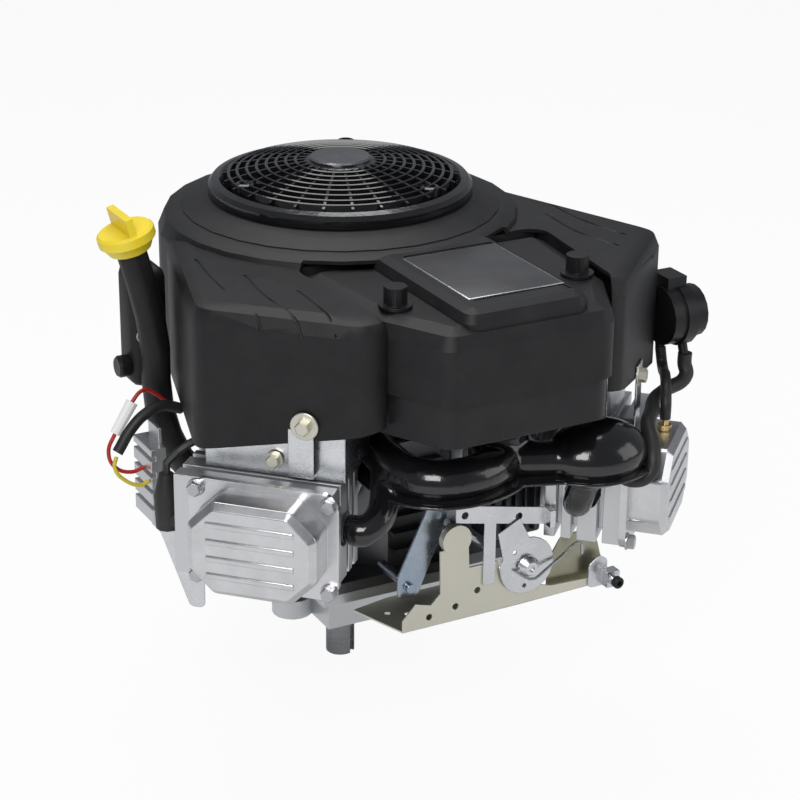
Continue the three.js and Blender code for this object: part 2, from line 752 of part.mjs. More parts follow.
const BOOT_S = HEAD_BACK_S - 20;
const BOOT_LOW = -22;
const BOOT_HIGH = 24;

function plugBoot(bank) {
  const y = SIDE[bank] * BOOT_S;
  const socketEnd = SIDE[bank] * (HEAD_BACK_S - 8.4);
  const upright = join(
    bar([PLUG_D, y, BOOT_LOW], [PLUG_D, y, 6], 9.5, 10, 10.5),
    bar([PLUG_D, y, 6], [PLUG_D, y, BOOT_HIGH], 10.5, 10, 6),
    bar([PLUG_D, y, PLUG_Z], [PLUG_D, socketEnd, PLUG_Z], 8.5, 10),
  );
  const socket = bar(
    [PLUG_D, SIDE[bank] * (HEAD_BACK_S - 12.4), PLUG_Z], [PLUG_D, SIDE[bank] * (HEAD_BACK_S), PLUG_Z], 4.8, 10,
  );
  return upright.subtract(socket);
}

// A sheet beside the cylinder that carries the regulator and turns the cooling air downwards.
const LOWER_BAFFLE_D = 193;

function lowerBaffle(bank) {
  const side = SIDE[bank];
  const outline = [
    [-90, -40], [-64, -108], [-51, -108], [-51, -38], [-60, -32],
  ].map(([s, z]) => [side * s, z]);
  return crossPlate(outline, LOWER_BAFFLE_D, LOWER_BAFFLE_D + BAFFLE_THICK, 5);
}

// ---- Blower housing ----

const DRUM_EDGE = 18;
const WING_EDGE = 14;
const WING_CORNER = 24;
const COVER_ROOM = 0.5;

function wingOutline(bank) {
  return bankOutline(bank, [
    [WING_END_D[bank], WING_BACK_S[bank]],
    [WING_END_D[bank], WING_FRONT_S],
    [60, WING_FRONT_S],
    [-20, 0],
    [92, -120],
  ]);
}

function drum(inset, bottom) {
  const radius = DRUM_R - inset;
  const top = DRUM_TOP - inset;
  const edge = DRUM_EDGE - inset;
  const profile = [[0, bottom], [radius, bottom]];
  for (let i = 0; i <= 2; i += 1) {
    const angle = i * Math.PI / 4;
    profile.push([radius - edge + edge * Math.cos(angle), top - edge + edge * Math.sin(angle)]);
  }
  profile.push([0, top]);
  return turned(profile, 28);
}

function housingForm(inset, bottom) {
  const wings = [1, 2].map((bank) => inEngine(bank, domedPlate(
    grown(wingOutline(bank), -inset), bottom, WING_TOP - inset, WING_CORNER - inset, WING_EDGE - inset / 2,
    inset > 0 ? 1 : 2,
  )));
  return join(drum(inset, bottom), ...wings);
}

function cleanerOutline(outset) {
  const halves = [
    [-CLEANER_BACK_HALF, -110], [-CLEANER_SHOULDER_HALF, CLEANER_SHOULDER_Y],
    [-CLEANER_FRONT_HALF, CLEANER_FRONT_Y], [CLEANER_FRONT_HALF, CLEANER_FRONT_Y],
    [CLEANER_SHOULDER_HALF, CLEANER_SHOULDER_Y], [CLEANER_BACK_HALF, -110],
  ];
  return grown(halves.map(([x, y]) => [x + CLEANER_X, y]), outset);
}

// The housing's lower edge climbs along each wing towards the air cleaner.
function edgeRise(bank) {
  const side = SIDE[bank];
  const far = WING_FRONT_S + 30;
  const back = WING_BACK_S[bank];
  const rise = WING_EDGE_RISE * (far - back) / (WING_FRONT_S - back);
  const outline = [
    [side * back, HOUSING_BOTTOM - 2], [side * far, HOUSING_BOTTOM - 2],
    [side * far, HOUSING_BOTTOM + rise], [side * back, HOUSING_BOTTOM],
  ];
  return inEngine(bank, crossPlate(outline, 70, WING_END_D[bank] + 5));
}

function blowerHousing() {
  const fanRoom = FAN_R + 4;
  const pocket = plate(cleanerOutline(COVER_ROOM), HOUSING_BOTTOM - 10, DRUM_TOP + 60, CLEANER_CORNER)
    .subtract(post(CLEANER_BACK_R - COVER_ROOM, HOUSING_BOTTOM - 20, DRUM_TOP + 70, 0, 0, 28));
  const shell = cut(
    housingForm(0, HOUSING_BOTTOM),
    housingForm(HOUSING_WALL, HOUSING_BOTTOM - 1),
    edgeRise(1),
    edgeRise(2),
    pocket,
  );
  const neck = turned([
    [fanRoom, DRUM_TOP - HOUSING_WALL], [STEP_R, DRUM_TOP - HOUSING_WALL], [STEP_R, DRUM_TOP + 1],
    [NECK_R + 3, NECK_TOP - 5], [NECK_R - 1, SCREEN_BOTTOM - GAP],
    [fanRoom, SCREEN_BOTTOM - GAP], [fanRoom, DRUM_TOP - HOUSING_WALL],
  ], 28);
  return join(cut(shell, post(fanRoom, 300, 400, 0, 0, 28)), neck);
}

// ---- Air cleaner ----

const KNOB_SEAT_Z = CLEANER_TOP - 11;
const PANEL_HALF = 54;
const LABEL = { x: 18, y: -208, width: 78, length: 120, depth: 1 };
const KNOB_STEM_R = 4;
const COVER_EDGE = 15;

function coverForm(inset, bottom) {
  const low = domedPlate(
    cleanerOutline(-inset), bottom, KNOB_SEAT_Z - inset, CLEANER_CORNER - inset, COVER_EDGE - inset,
  );
  const half = PANEL_HALF - inset;
  const panel = domedPlate([
    [CLEANER_X - half, CLEANER_FRONT_Y + 6 + inset], [CLEANER_X + half, CLEANER_FRONT_Y + 6 + inset],
    [CLEANER_X + half, -120], [CLEANER_X - half, -120],
  ], bottom + 20, CLEANER_TOP - inset, 12 - inset, 10 - inset);
  const fanSide = post(CLEANER_BACK_R + inset, bottom - 1, CLEANER_TOP + 1, 0, 0, 28);
  return join(low, panel).subtract(fanSide);
}

function airCleanerCover() {
  const label = block(
    LABEL.x - LABEL.width / 2, LABEL.x + LABEL.width / 2,
    LABEL.y - LABEL.length / 2, LABEL.y + LABEL.length / 2,
    CLEANER_TOP - LABEL.depth, CLEANER_TOP + 1,
  );
  const stems = [-1, 1].map((side) => post(
    KNOB_STEM_R + GAP, KNOB_SEAT_Z - 20, KNOB_SEAT_Z + 2, CLEANER_X + side * KNOB_SPAN / 2, KNOB_Y, 12,
  ));
  return cut(coverForm(0, COVER_LIP_Z + GAP), coverForm(CLEANER_WALL, COVER_LIP_Z - 1), label, ...stems);
}

function airCleanerBase() {
  const inset = CLEANER_WALL + GAP;
  const outer = plate(cleanerOutline(-inset), CLEANER_FLOOR, COVER_LIP_Z, CLEANER_CORNER)
    .subtract(post(CLEANER_BACK_R + inset, CLEANER_FLOOR - 1, COVER_LIP_Z + 1, 0, 0, 28));
  const room = plate(
    cleanerOutline(-inset - CLEANER_WALL), CLEANER_FLOOR + CLEANER_WALL, COVER_LIP_Z + 1, CLEANER_CORNER - 4,
  ).subtract(post(CLEANER_BACK_R + inset + CLEANER_WALL, CLEANER_FLOOR - 1, COVER_LIP_Z + 2, 0, 0, 28));
  return cut(outer, room, post(THROAT_R, CLEANER_FLOOR - 1, CLEANER_FLOOR + 5, CARB_X, CARB_Y, 18));
}

const CARB_X = 30;
const CARB_Y = -214;
const THROAT_R = 17;

function airFilter() {
  const [x0, x1, y0, y1] = [CLEANER_X - 68, CLEANER_X + 68, -268, -170];
  const z0 = CLEANER_FLOOR + CLEANER_WALL + GAP;
  const z1 = z0 + 34;
  let body = block(x0, x1, y0, y1, z0, z1);
  const pleats = 11;
  const pitch = (x1 - x0 - 12) / pleats;
  for (let i = 0; i < pleats; i += 1) {
    const middle = x0 + 6 + (i + 0.5) * pitch;
    const groove = frontPlate(
      [[middle - 0.38 * pitch, z1 + 1], [middle, z1 - 12], [middle + 0.38 * pitch, z1 + 1]],
      y0 + 5, y1 - 5,
    );
    body = body.subtract(groove);
  }
  return body.subtract(post(THROAT_R + 5, z0 - 1, z0 + 6, CARB_X, CARB_Y, 18));
}

function coverKnob() {
  let knob = join(
    post(KNOB_R + 4, KNOB_SEAT_Z + GAP, KNOB_SEAT_Z + 3, 0, 0, 16),
    post(KNOB_R, KNOB_SEAT_Z + 2, KNOB_SEAT_Z + 17, 0, 0, 16),
    post(KNOB_STEM_R, KNOB_SEAT_Z - 40, KNOB_SEAT_Z + 1, 0, 0, 10),
  );
  for (let i = 0; i < 6; i += 1) {
    const angle = i * Math.PI / 3;
    const x = (KNOB_R + 1.4) * Math.cos(angle);
    const y = (KNOB_R + 1.4) * Math.sin(angle);
    knob = knob.subtract(post(2.4, KNOB_SEAT_Z + 4, KNOB_SEAT_Z + 18, x, y, 6));
  }
  return knob;
}

// ---- Flywheel, charging coil, fan and screen ----

const FLYWHEEL_HUB_R = 30;
const FLYWHEEL_WEB_Z = 252;
const FLYWHEEL_RIM = 10;
const RING_PITCH_R = 107.5;
const RING_GEAR_Z = 226;

function toothedOutline(teeth, rootR, tipR, phase, rootShare, tipShare) {
  const tooth = 2 * Math.PI / teeth;
  const outline = [];
  for (let i = 0; i < teeth; i += 1) {
    const corners = [[rootR, -rootShare], [tipR, -tipShare], [tipR, tipShare], [rootR, rootShare]];
    for (const [radius, share] of corners) {
      const angle = phase + (i + share / 2) * tooth;
      outline.push([radius * Math.cos(angle), radius * Math.sin(angle)]);
    }
  }
  return outline;
}

// The flywheel with its starter ring gear shrunk on.
function flywheel() {
  const inner = SEAT_R + GAP;
  const rim = FLYWHEEL_R - FLYWHEEL_RIM;
  const teeth = plate(
    toothedOutline(RING_GEAR_TEETH, RING_GEAR_R - 3.4, RING_GEAR_R, 0, 0.5, 0.25),
    RING_GEAR_Z, RING_GEAR_Z + RING_GEAR_THICK,
  ).subtract(post(FLYWHEEL_R - 2, RING_GEAR_Z - 1, RING_GEAR_Z + RING_GEAR_THICK + 1, 0, 0, 24));
  return turned([
    [inner, SEAT_Z], [FLYWHEEL_HUB_R, SEAT_Z], [FLYWHEEL_HUB_R, FLYWHEEL_WEB_Z], [rim, FLYWHEEL_WEB_Z],
    [rim, FLYWHEEL_BOTTOM], [FLYWHEEL_R, FLYWHEEL_BOTTOM], [FLYWHEEL_R, FLYWHEEL_TOP], [inner, FLYWHEEL_TOP],
    [inner, SEAT_Z],
  ], 24).add(teeth);
}

const STATOR_POLES = 9;

function stator() {
  const low = CASE_TOP + GAP;
  let body = ring(JOURNAL_R + 3, 36, low, low + 12, 32);
  for (let i = 0; i < STATOR_POLES; i += 1) {
    const pole = block(33, 62, -5, 5, low + 1, low + 11);
    body = body.add(turnedBy(pole, 2 * Math.PI * i / STATOR_POLES));
  }
  return body;
}

const FAN_BORE_R = 22;
const SCREEN_POST_R = 86;
const SCREEN_POST_ANGLES = [Math.PI / 3, Math.PI, -Math.PI / 3];

function coolingFan() {
  const floor = FLYWHEEL_TOP + GAP;
  let fan = ring(FAN_BORE_R, FAN_R, floor, floor + 3, 28);
  for (let i = 0; i < FAN_BLADES; i += 1) {
    const bend = new THREE.QuadraticBezierCurve3(
      new THREE.Vector3(48, -6, 0), new THREE.Vector3(72, 14, 0), new THREE.Vector3(FAN_R - 1, 12, 0),
    );
    const front = bend.getPoints(3).map((p) => [p.x, p.y]);
    const back = front.map(([x, y]) => [x, y + 2.6]).reverse();
    const blade = plate([...front, ...back], floor + 2, FAN_TOP);
    fan = fan.add(turnedBy(blade, 2 * Math.PI * i / FAN_BLADES));
  }
  for (const angle of SCREEN_POST_ANGLES) {
    const x = SCREEN_POST_R * Math.cos(angle);
    const y = SCREEN_POST_R * Math.sin(angle);
    fan = fan.add(post(5, floor + 2, SCREEN_RIM_TOP - 6 - GAP, x, y, 8));
  }
  return fan;
}

function screenHeight(radius) {
  const share = (radius - SCREEN_HUB_R) / (SCREEN_R - SCREEN_RIM - SCREEN_HUB_R);
  return SCREEN_TOP - 2 + (SCREEN_RIM_TOP - 1 - SCREEN_TOP + 2) * share ** 1.35;
}

function rotatingScreen() {
  const inner = SCREEN_R - SCREEN_RIM;
  let screen = ring(inner, SCREEN_R, SCREEN_BOTTOM, SCREEN_RIM_TOP, 28);
  const hub = turned([
    [0, SCREEN_TOP - 7], [SCREEN_HUB_R, SCREEN_TOP - 7], [SCREEN_HUB_R, SCREEN_TOP - 1.5],
    [SCREEN_HUB_R - 2, SCREEN_TOP], [SCREEN_HUB_R - 5, SCREEN_TOP], [SCREEN_HUB_R - 6, SCREEN_TOP - 2],
    [0, SCREEN_TOP - 2],
  ], 18);
  screen = screen.add(hub);
  const pitch = (inner - SCREEN_HUB_R) / (SCREEN_RINGS + 1);
  for (let i = 1; i <= SCREEN_RINGS; i += 1) {
    const radius = SCREEN_HUB_R + i * pitch;
    const z = screenHeight(radius);
    screen = screen.add(ring(radius - 1.4, radius + 1.4, z - 4, z, 20));
  }
  for (let i = 0; i < SCREEN_SPOKES; i += 1) {
    const low = [];
    const high = [];
    for (let step = 0; step <= 2; step += 1) {
      const radius = SCREEN_HUB_R - 1 + (inner + 2 - SCREEN_HUB_R) * step / 2;
      const z = screenHeight(Math.max(radius, SCREEN_HUB_R));
      high.push([radius, z]);
      low.unshift([radius, z - 5]);
    }
    const spoke = frontPlate([...high, ...low], -1.6, 1.6);
    screen = screen.add(turnedBy(spoke, 2 * Math.PI * i / SCREEN_SPOKES));
  }
  for (const angle of SCREEN_POST_ANGLES) {
    const x = SCREEN_POST_R * Math.cos(angle);
    const y = SCREEN_POST_R * Math.sin(angle);
    screen = screen.add(post(7, SCREEN_RIM_TOP - 6, SCREEN_RIM_TOP + 3, x, y, 8));
  }
  return screen;
}

// ---- Ignition, starting and charging ----

const COIL_DEPTH = 40;

function ignitionCoil() {
  const low = CASE_TOP + GAP;
  const core = block(FLYWHEEL_R + 7, FLYWHEEL_R + 34, -14, 14, 237, 248);
  const winding = block(FLYWHEEL_R + 12, FLYWHEEL_R + COIL_DEPTH, -20, 20, 236, 252);
  const legs = [-1, 1].map((side) => block(
    FLYWHEEL_R + 6.5, FLYWHEEL_R + 12.5, side * 16 - 4, side * 16 + 4, 221, 238,
  ));
  const arms = [-1, 1].map((side) => block(
    99, FLYWHEEL_R + 12.5, side * 16 - 4, side * 16 + 4, low, 222,
  ));
  return join(core, winding, ...legs, ...arms);
}

const STARTER_ANGLE = THREE.MathUtils.degToRad(54);
const PINION_TEETH = 6;
const PINION_PITCH_R = RING_PITCH_R * PINION_TEETH / RING_GEAR_TEETH;
const MESH_ROOM = 1.1;
const STARTER_RADIUS = RING_PITCH_R + PINION_PITCH_R + MESH_ROOM;
const STARTER_BODY_R = 30;
const STARTER_TOP = 190;
const PINION_REST_Z = 206;
const PINION_THICK = 10;
const PINION_TRAVEL = 19;

function starterMotor() {
  const x = STARTER_RADIUS;
  const can = turned([
    [0, 84], [14, 80], [STARTER_BODY_R - 4, 80], [STARTER_BODY_R, 84],
    [STARTER_BODY_R, STARTER_TOP - 8], [STARTER_BODY_R - 3, STARTER_TOP - 6],
    [STARTER_BODY_R - 3, STARTER_TOP], [0, STARTER_TOP],
  ], 22);
  const shaft = post(5.5, STARTER_TOP - 1, PINION_REST_Z + PINION_THICK + PINION_TRAVEL + 3, x, 0, 12);
  const bracket = block(CASE_R + GAP, x, -20, 20, STARTER_TOP - 14, STARTER_TOP - 4);
  const terminal = bar([x, 24, 100], [x, 40, 100], 4, 12);
  return turnedBy(join(shifted(can, x, 0, 0), shaft, bracket, terminal), STARTER_ANGLE);
}

function starterPinion() {
  const phase = Math.PI + Math.PI / PINION_TEETH;
  const outline = toothedOutline(PINION_TEETH, PINION_PITCH_R - 2, PINION_PITCH_R + 1.4, phase, 0.44, 0.18);
  const gear = cut(
    join(
      plate(outline, PINION_REST_Z, PINION_REST_Z + PINION_THICK),
      post(12, PINION_REST_Z - 9, PINION_REST_Z + 1, 0, 0, 20),
    ),
    post(5.5 + GAP, PINION_REST_Z - 10, PINION_REST_Z + PINION_THICK + 1, 0, 0, 16),
  );
  return turnedBy(shifted(gear, STARTER_RADIUS, 0, 0), STARTER_ANGLE);
}

const REGULATOR = { x0: -207, x1: -194, y0: -79, y1: -42, z0: 122, z1: 186 };

function voltageRegulator() {
  const r = REGULATOR;
  let body = join(
    block(r.x0, r.x1, r.y0, r.y1, r.z0, r.z1),
    block(r.x1 - 3, r.x1, r.y0 + 8, r.y1 - 8, r.z0 - 14, r.z1 + 14),
  );
  for (let z = r.z0 + 12; z < r.z1 - 8; z += 14) {
    body = body.subtract(block(r.x0 - 1, r.x0 + 4, r.y0 - 1, r.y1 + 1, z, z + 4));
  }
  return body;
}

// ---- Intake ----

const MANIFOLD_SEAM_Z = 187;
const MANIFOLD_SEAM = 6;
const MANIFOLD_TOP = 214;
const MANIFOLD = { x0: -75, x1: 131, y0: -270, y1: -204 };
const RUNNER_R = 16;

function intakeManifold() {
  const m = MANIFOLD;
  const seam = plate(
    [[m.x0, m.y0], [m.x1, m.y0], [m.x1, m.y1], [m.x0, m.y1]],
    MANIFOLD_SEAM_Z, MANIFOLD_SEAM_Z + MANIFOLD_SEAM, 30, 3,
  );
  const lobe = (x0, x1) => domedPlate(
    [[x0, m.y0 + 4], [x1, m.y0 + 4], [x1, m.y1 - 4], [x0, m.y1 - 4]],
    MANIFOLD_SEAM_Z + 1, MANIFOLD_TOP, 24, 16, 2,
  );
  const middle = CARB_X - 2;
  const riser = post(THROAT_R + 6, MANIFOLD_SEAM_Z + 1, MANIFOLD_TOP + 2, CARB_X, CARB_Y, 18);
  const runners = [1, 2].map((bank) => {
    const port = bankPoint(bank, PORT_D, HEAD_FRONT_S + GAP, BANK_Z[bank]);
    const lip = bankPoint(bank, PORT_D, HEAD_FRONT_S + RUNNER_R + 2, BANK_Z[bank]);
    const top = [bank === 1 ? m.x0 + 36 : m.x1 - 44, m.y0 + 32, MANIFOLD_SEAM_Z + 2];
    return join(bar(port, lip, RUNNER_R + 3, 14), bar(lip, top, RUNNER_R, 12), solidBall(lip, RUNNER_R));
  });
  const throat = post(THROAT_R - 1, MANIFOLD_SEAM_Z + 12, MANIFOLD_TOP + 3, CARB_X, CARB_Y, 16);
  return join(seam, lobe(m.x0 + 4, middle - 2), lobe(middle + 2, m.x1 - 4), riser, ...runners).subtract(throat);
}

function solidBall(centre, radius) {
  const geometry = new THREE.SphereGeometry(radius, 8, 5);
  geometry.translate(...centre);
  return solidOf(geometry);
}

const THROTTLE_Z = 226;
const THROTTLE_R = 3;

function throttleBody() {
  const low = MANIFOLD_TOP + 2 + GAP;
  const y = CARB_Y;
  const body = join(
    post(THROAT_R + 5, low, CLEANER_FLOOR - GAP, CARB_X, y, 18),
    block(CARB_X - 26, CARB_X + 26, y - 12, y + 12, low, low + 6),
  );
  return cut(
    body,
    post(THROAT_R - 1, low - 1, CLEANER_FLOOR + 1, CARB_X, y, 18),
    bar([CARB_X - 40, y, THROTTLE_Z], [CARB_X + 40, y, THROTTLE_Z], THROTTLE_R + RUNNING, 16),
  );
}

// The shaft crosses the throat with the butterfly plate on it and a lever on its left end.
function throttleShaft() {
  const y = CARB_Y;
  const shaft = bar([CARB_X - 36, y, THROTTLE_Z], [CARB_X + 26, y, THROTTLE_Z], THROTTLE_R, 14);
  const butterfly = post(THROAT_R - 3, THROTTLE_Z - 1, THROTTLE_Z + 1, CARB_X, y, 18);
  const lever = crossPlate([
    [y - 8, THROTTLE_Z - 4], [y + 4, THROTTLE_Z - 4], [y + 4, THROTTLE_Z + 4], [y - 8, THROTTLE_Z + 2],
  ], CARB_X - 36, CARB_X - 34);
  return join(shaft, butterfly, lever);
}

const PUMP = { x: 229, y: -160, z: 256 };

function fuelPump() {
  const { x, y, z } = PUMP;
  const body = join(
    bar([x - 16, y, z], [x - 4, y, z], 25, 18),
    bar([x - 4, y, z], [x + 6, y, z], 27, 18),
    bar([x + 6, y, z], [x + 18, y, z], 22, 18),
    block(x - 14, x + 4, y - 8, y + 16, z + 18, z + 34),
    bar([x + 2, y - 8, z - 20], [x + 2, y - 14, z - 36], 4, 12),
    bar([x - 10, y + 6, z - 20], [x - 10, y + 4, z - 34], 4, 12),
  );
  return body;
}

const OIL_TUBE_R = 12;
const OIL_TUBE_PATH = [
  [-92, 12, 96], [-105, 12, 97], [-150, -10, 136], [-179, -30, 200], [-185, -40, 262], [-192, -41, 300], [-203, -41, 341],
];

function oilFillTube() {
  const path = OIL_TUBE_PATH;
  const outer = tube(path, OIL_TUBE_R, 12, 10);
  const inner = tube([...path.slice(0, -1), [-204.5, -41, 347]], OIL_TUBE_R - 2.4, 8, 10);
  return outer.subtract(inner);
}

const CAP_LEAN = new THREE.Vector3(...OIL_TUBE_PATH.at(-1))
  .sub(new THREE.Vector3(...OIL_TUBE_PATH.at(-2)))
  .normalize();

const DIPSTICK = 75;

// The cap closes the tube, with a grip on top and the dipstick blade below.
function oilCap() {
  const cap = join(
    turned([
      [0, GAP], [17, GAP], [20, 6], [23, 9], [23, 16], [21, 18], [0, 18],
    ], 20),
    block(-3, 3, -20, 20, 16, 32),
    block(-0.6, 0.6, -2.5, 2.5, -DIPSTICK, 2),
    post(OIL_TUBE_R - 4.4, -9, 1, 0, 0, 12),
  );
  const turn = new THREE.Quaternion().setFromUnitVectors(new THREE.Vector3(0, 0, 1), CAP_LEAN);
  const place = new THREE.Matrix4().compose(
    new THREE.Vector3(...OIL_TUBE_PATH.at(-1)), turn, new THREE.Vector3(1, 1, 1),
  );
  return moved(cap, place);
}

const FILTER = { x: 0, z: 34, radius: 33, length: 62 };

function oilFilter() {
  const from = SUMP_R + 6;
  const can = turned([
    [0, 0], [FILTER.radius - 4, 0], [FILTER.radius, 3], [FILTER.radius, FILTER.length - 8],
    [FILTER.radius - 8, FILTER.length], [0, FILTER.length],
  ], 20);
  return shifted(moved(can, new THREE.Matrix4().makeRotationX(-Math.PI / 2)), FILTER.x, from, FILTER.z);
}

function oilTubeBoss() {
  const [x, y, z] = OIL_TUBE_PATH[0];
  return bar([-CASE_R + 6, y, z], [x + 2, y, z], OIL_TUBE_R + 3, 16);
}

function filterBoss() {
  return bar([FILTER.x, SUMP_R - 20, FILTER.z], [FILTER.x, SUMP_R + 6 - GAP, FILTER.z], 22, 18);
}

// ---- Speed controls in front of the crankcase ----

const CONTROL_Y = -200;
const SHEET = 1.5;
const BRACKET_Z = 43;
const LEVER_PIVOT = { x: -34, z: 76 };
const LEVER_Y = -189;
const THROTTLE_PIVOT = { x: 66, z: 80 };

function controlBracket() {
  const face = frontPlate([
    [-46, BRACKET_Z], [62, BRACKET_Z], [150, 46], [150, 52], [92, 54], [46, 68], [40, 88], [14, 88], [13, 108],
    [-13, 108], [-12, 70], [-20, 62], [-34, 66], [-46, 54],
  ], CONTROL_Y - SHEET, CONTROL_Y);
  const shelf = plate([
    [-64, -150], [-46, CONTROL_Y - SHEET], [62, CONTROL_Y - SHEET],
    [48, -CAM_BOX_FRONT - CASE_LIP - GAP], [-30, -CAM_BOX_FRONT - CASE_LIP - GAP],
  ], BRACKET_Z, BRACKET_Z + SHEET);
  const disc = bar([0, CONTROL_Y + 1, 117], [0, CONTROL_Y - 6, 117], 13, 20);
  const holes = [[-22, 52], [2, 56], [22, 66]].map(
    ([x, z]) => bar([x, CONTROL_Y - 5, z], [x, CONTROL_Y + 5, z], 3, 8),
  );
  const slots = [[-42, -168], [-28, -176]].map(([x, y]) => post(2.6, BRACKET_Z - 2, BRACKET_Z + 4, x, y, 8));
  return cut(join(face, shelf, disc), ...holes, ...slots);
}

function linkageBracket() {
  const y1 = CONTROL_Y - SHEET - GAP;
  const strip = frontPlate([[0, 131], [86, 112], [86, 127], [0, 146]], y1 - SHEET, y1);
  const stem = frontPlate([[26, 70], [37, 70], [37, 126], [26, 128]], y1 - SHEET, y1);
  const ear = block(83, 88, y1 - 9, y1, 112, 127);
  const holes = [[8, 136], [58, 125]].map(([x, z]) => bar([x, y1 - 5, z], [x, y1 + 5, z], 3.2, 8));
  return cut(join(strip, stem, ear), ...holes);
}

function governorLever() {
  const { x, z } = LEVER_PIVOT;
  const arm = frontPlate([
    [x - 10, z - 9], [x + 8, z - 9], [x + 14, z + 6], [x + 34, z + 54], [x + 34, z + 66], [x + 16, z + 66],
    [x - 10, z + 10],
  ], LEVER_Y, LEVER_Y + 2, 4);
  const shaft = bar([x, LEVER_Y - 4, z], [x, -CAM_BOX_FRONT - 8, z], 4, 16);
  return join(arm, shaft);
}

function governorSpring() {
  return tube([[-4, -195, 130], [16, -195, 114], [36, -195, 98]], 3.4, 12, 3);
}

function throttleControl() {
  const { x, z } = THROTTLE_PIVOT;
  const y1 = CONTROL_Y - SHEET - 2;
  const disc = bar([x, y1, z], [x, y1 - SHEET, z], 25, 24);
  const tab = frontPlate([[x - 22, z + 6], [x + 4, z + 20], [x - 8, z + 44], [x - 28, z + 34]], y1 - SHEET, y1);
  const boss = bar([x, y1 - 1, z], [x, y1 - 6, z], 9, 16, 5);
  const holes = [[x - 12, z + 14], [x - 2, z - 18]].map(([hx, hz]) => bar([hx, y1 + 2, hz], [hx, y1 - 5, hz], 2, 8));
  return cut(join(disc, tab, boss), ...holes);
}

function controlLink() {
  const y = CONTROL_Y - SHEET * 2 - 4;
  return tube([
    [54, y, 78], [66, y - 6, 71], [84, y - 3, 77], [100, y, 84], [108, y, 90], [115, y, 91], [117, y, 80],
  ], 1.3, 6, 18);
}

function quadrantBracket() {
  return frontPlate([
    [92, 46], [150, 46], [140, 82], [120, 94], [104, 92], [92, 72],
  ], -194, -194 + SHEET, 5);
}

function cableClamp() {
  const y1 = CONTROL_Y - SHEET - GAP;
  return join(
    frontPlate([[127, 44], [145, 44], [145, 67], [137, 73], [127, 65]], y1 - SHEET, y1, 4),
    block(140, 152, y1 - 10, y1, 45, 59),
    bar([146, y1 - 9, 52], [146, y1 - 14, 52], 4.5, 10),
  );
}

// ---- Hoses and wires ----

const NIPPLE = { d: 283, s: 18 };

function nipple() {
  const top = BANK_Z[2] + COVER_BOX_HEIGHT / 2;
  const [x, y] = bankPoint(2, NIPPLE.d, NIPPLE.s, 0);
  return join(
    post(6, top + GAP, top + 5, x, y, 6),
    post(3.4, top + 4, top + 14, x, y, 16),
  );
}

function breatherHose() {
  const top = BANK_Z[2] + COVER_BOX_HEIGHT / 2 + 14 + GAP;
  const [x, y] = bankPoint(2, NIPPLE.d, NIPPLE.s, 0);
  return tube([
    [x, y, top], [x, y, top + 9], [x + 6, y + 9, top + 17], [x + 18, y + 28, top + 20],
    [PUMP.x - 10, PUMP.y + 1, PUMP.z - 44], [PUMP.x - 10, PUMP.y + 3.8, PUMP.z - 35.2],
  ], 4.5, 8, 12);
}

function fuelHose() {
  return tube([
    [PUMP.x + 2, PUMP.y - 14.6, PUMP.z - 37.8], [PUMP.x + 1, PUMP.y - 19, PUMP.z - 49], [207, -184, 200],
    [190, -194, 199], [171, -217, 200], [152, -240, 199], [142, -264, 186], [136, -268, 172],
    [122, -262, 168], [114, -252, 176], [114, -252, MANIFOLD_SEAM_Z - 1],
  ], 6, 8, 18);
}

// The lead from the ignition coil, with the boot moulded on its end. It climbs over the head
// and under the housing's edge.
function sparkLead(bank) {
  const top = BOOT_HIGH + BANK_Z[bank];
  const coilD = FLYWHEEL_R + COIL_DEPTH;
  const lead = tube([
    [PLUG_D, BOOT_S, top - 3], [PLUG_D, BOOT_S, top + 8], [214, -58, 198], [210, -44, 207],
    [208, -28, 208.5], [192, -18, 226], [coilD + 12, -4, 240], [coilD + 2 * GAP, -4, 240],
  ].map(([d, s, z]) => bankPoint(bank, d, s, z)), 3.4, 6, 12);
  return join(shifted(inEngine(bank, plugBoot(bank)), 0, 0, BANK_Z[bank]), lead);
}

const CONNECTOR = { from: [-213, -58, 221], to: [-229.5, -61, 198] };
const WIRES = {
  harness_sleeve: {
    radius: 4.5,
    sides: 10,
    steps: 10,
    points: [[-170, -54, 206], [-188, -58, 213], [-203, -62, 211], [-216, -64, 202], [-230, -66, 184]],
    finish: RUBBER,
  },
  red_wire: {
    radius: 1.6,
    sides: 6,
    steps: 16,
    points: [
      [-176, -48, 207], [-190, -52, 221], [-202, -55, 228], CONNECTOR.from, CONNECTOR.to,
      [-236, -62, 184], [-231, -63, 170], [-218, -64, 164], [-207.4, -64, 166],
    ],
    finish: { color: 0xa01c18, roughness: 0.45, metalness: 0 },
  },
  yellow_wire: {
    radius: 1.6,
    sides: 6,
    steps: 10,
    points: [[-231, -66, 180.5], [-234, -69, 173], [-226, -72, 161], [-214, -74, 156], [-207.4, -74, 158]],
    finish: { color: 0xc9b81c, roughness: 0.45, metalness: 0 },
  },
};

function wireTube(wire) {
  return tube(wire.points, wire.radius, wire.sides, wire.steps);
}

// A sleeve that joins the two halves of the red wire, which runs through its bore.
function wireConnector() {
  return bar(CONNECTOR.from, CONNECTOR.to, 5, 10, 4.2).subtract(tube(WIRES.red_wire.points, 2.6, 8, 16));
}

// ---- The engine ----

addPiece('crankcase', crankcase().add(oilTubeBoss()), DARK_CAST);
addPiece('oil_sump', sump().add(filterBoss()), CAST_ALUMINIUM);
addPiece('oil_seal', oilSeal(), RUBBER);
addPiece('oil_drain_plug', drainPlug(), MACHINED);
addPiece('crankshaft', crankshaft(), MACHINED);
addPiece('camshaft', camshaft(), MACHINED);

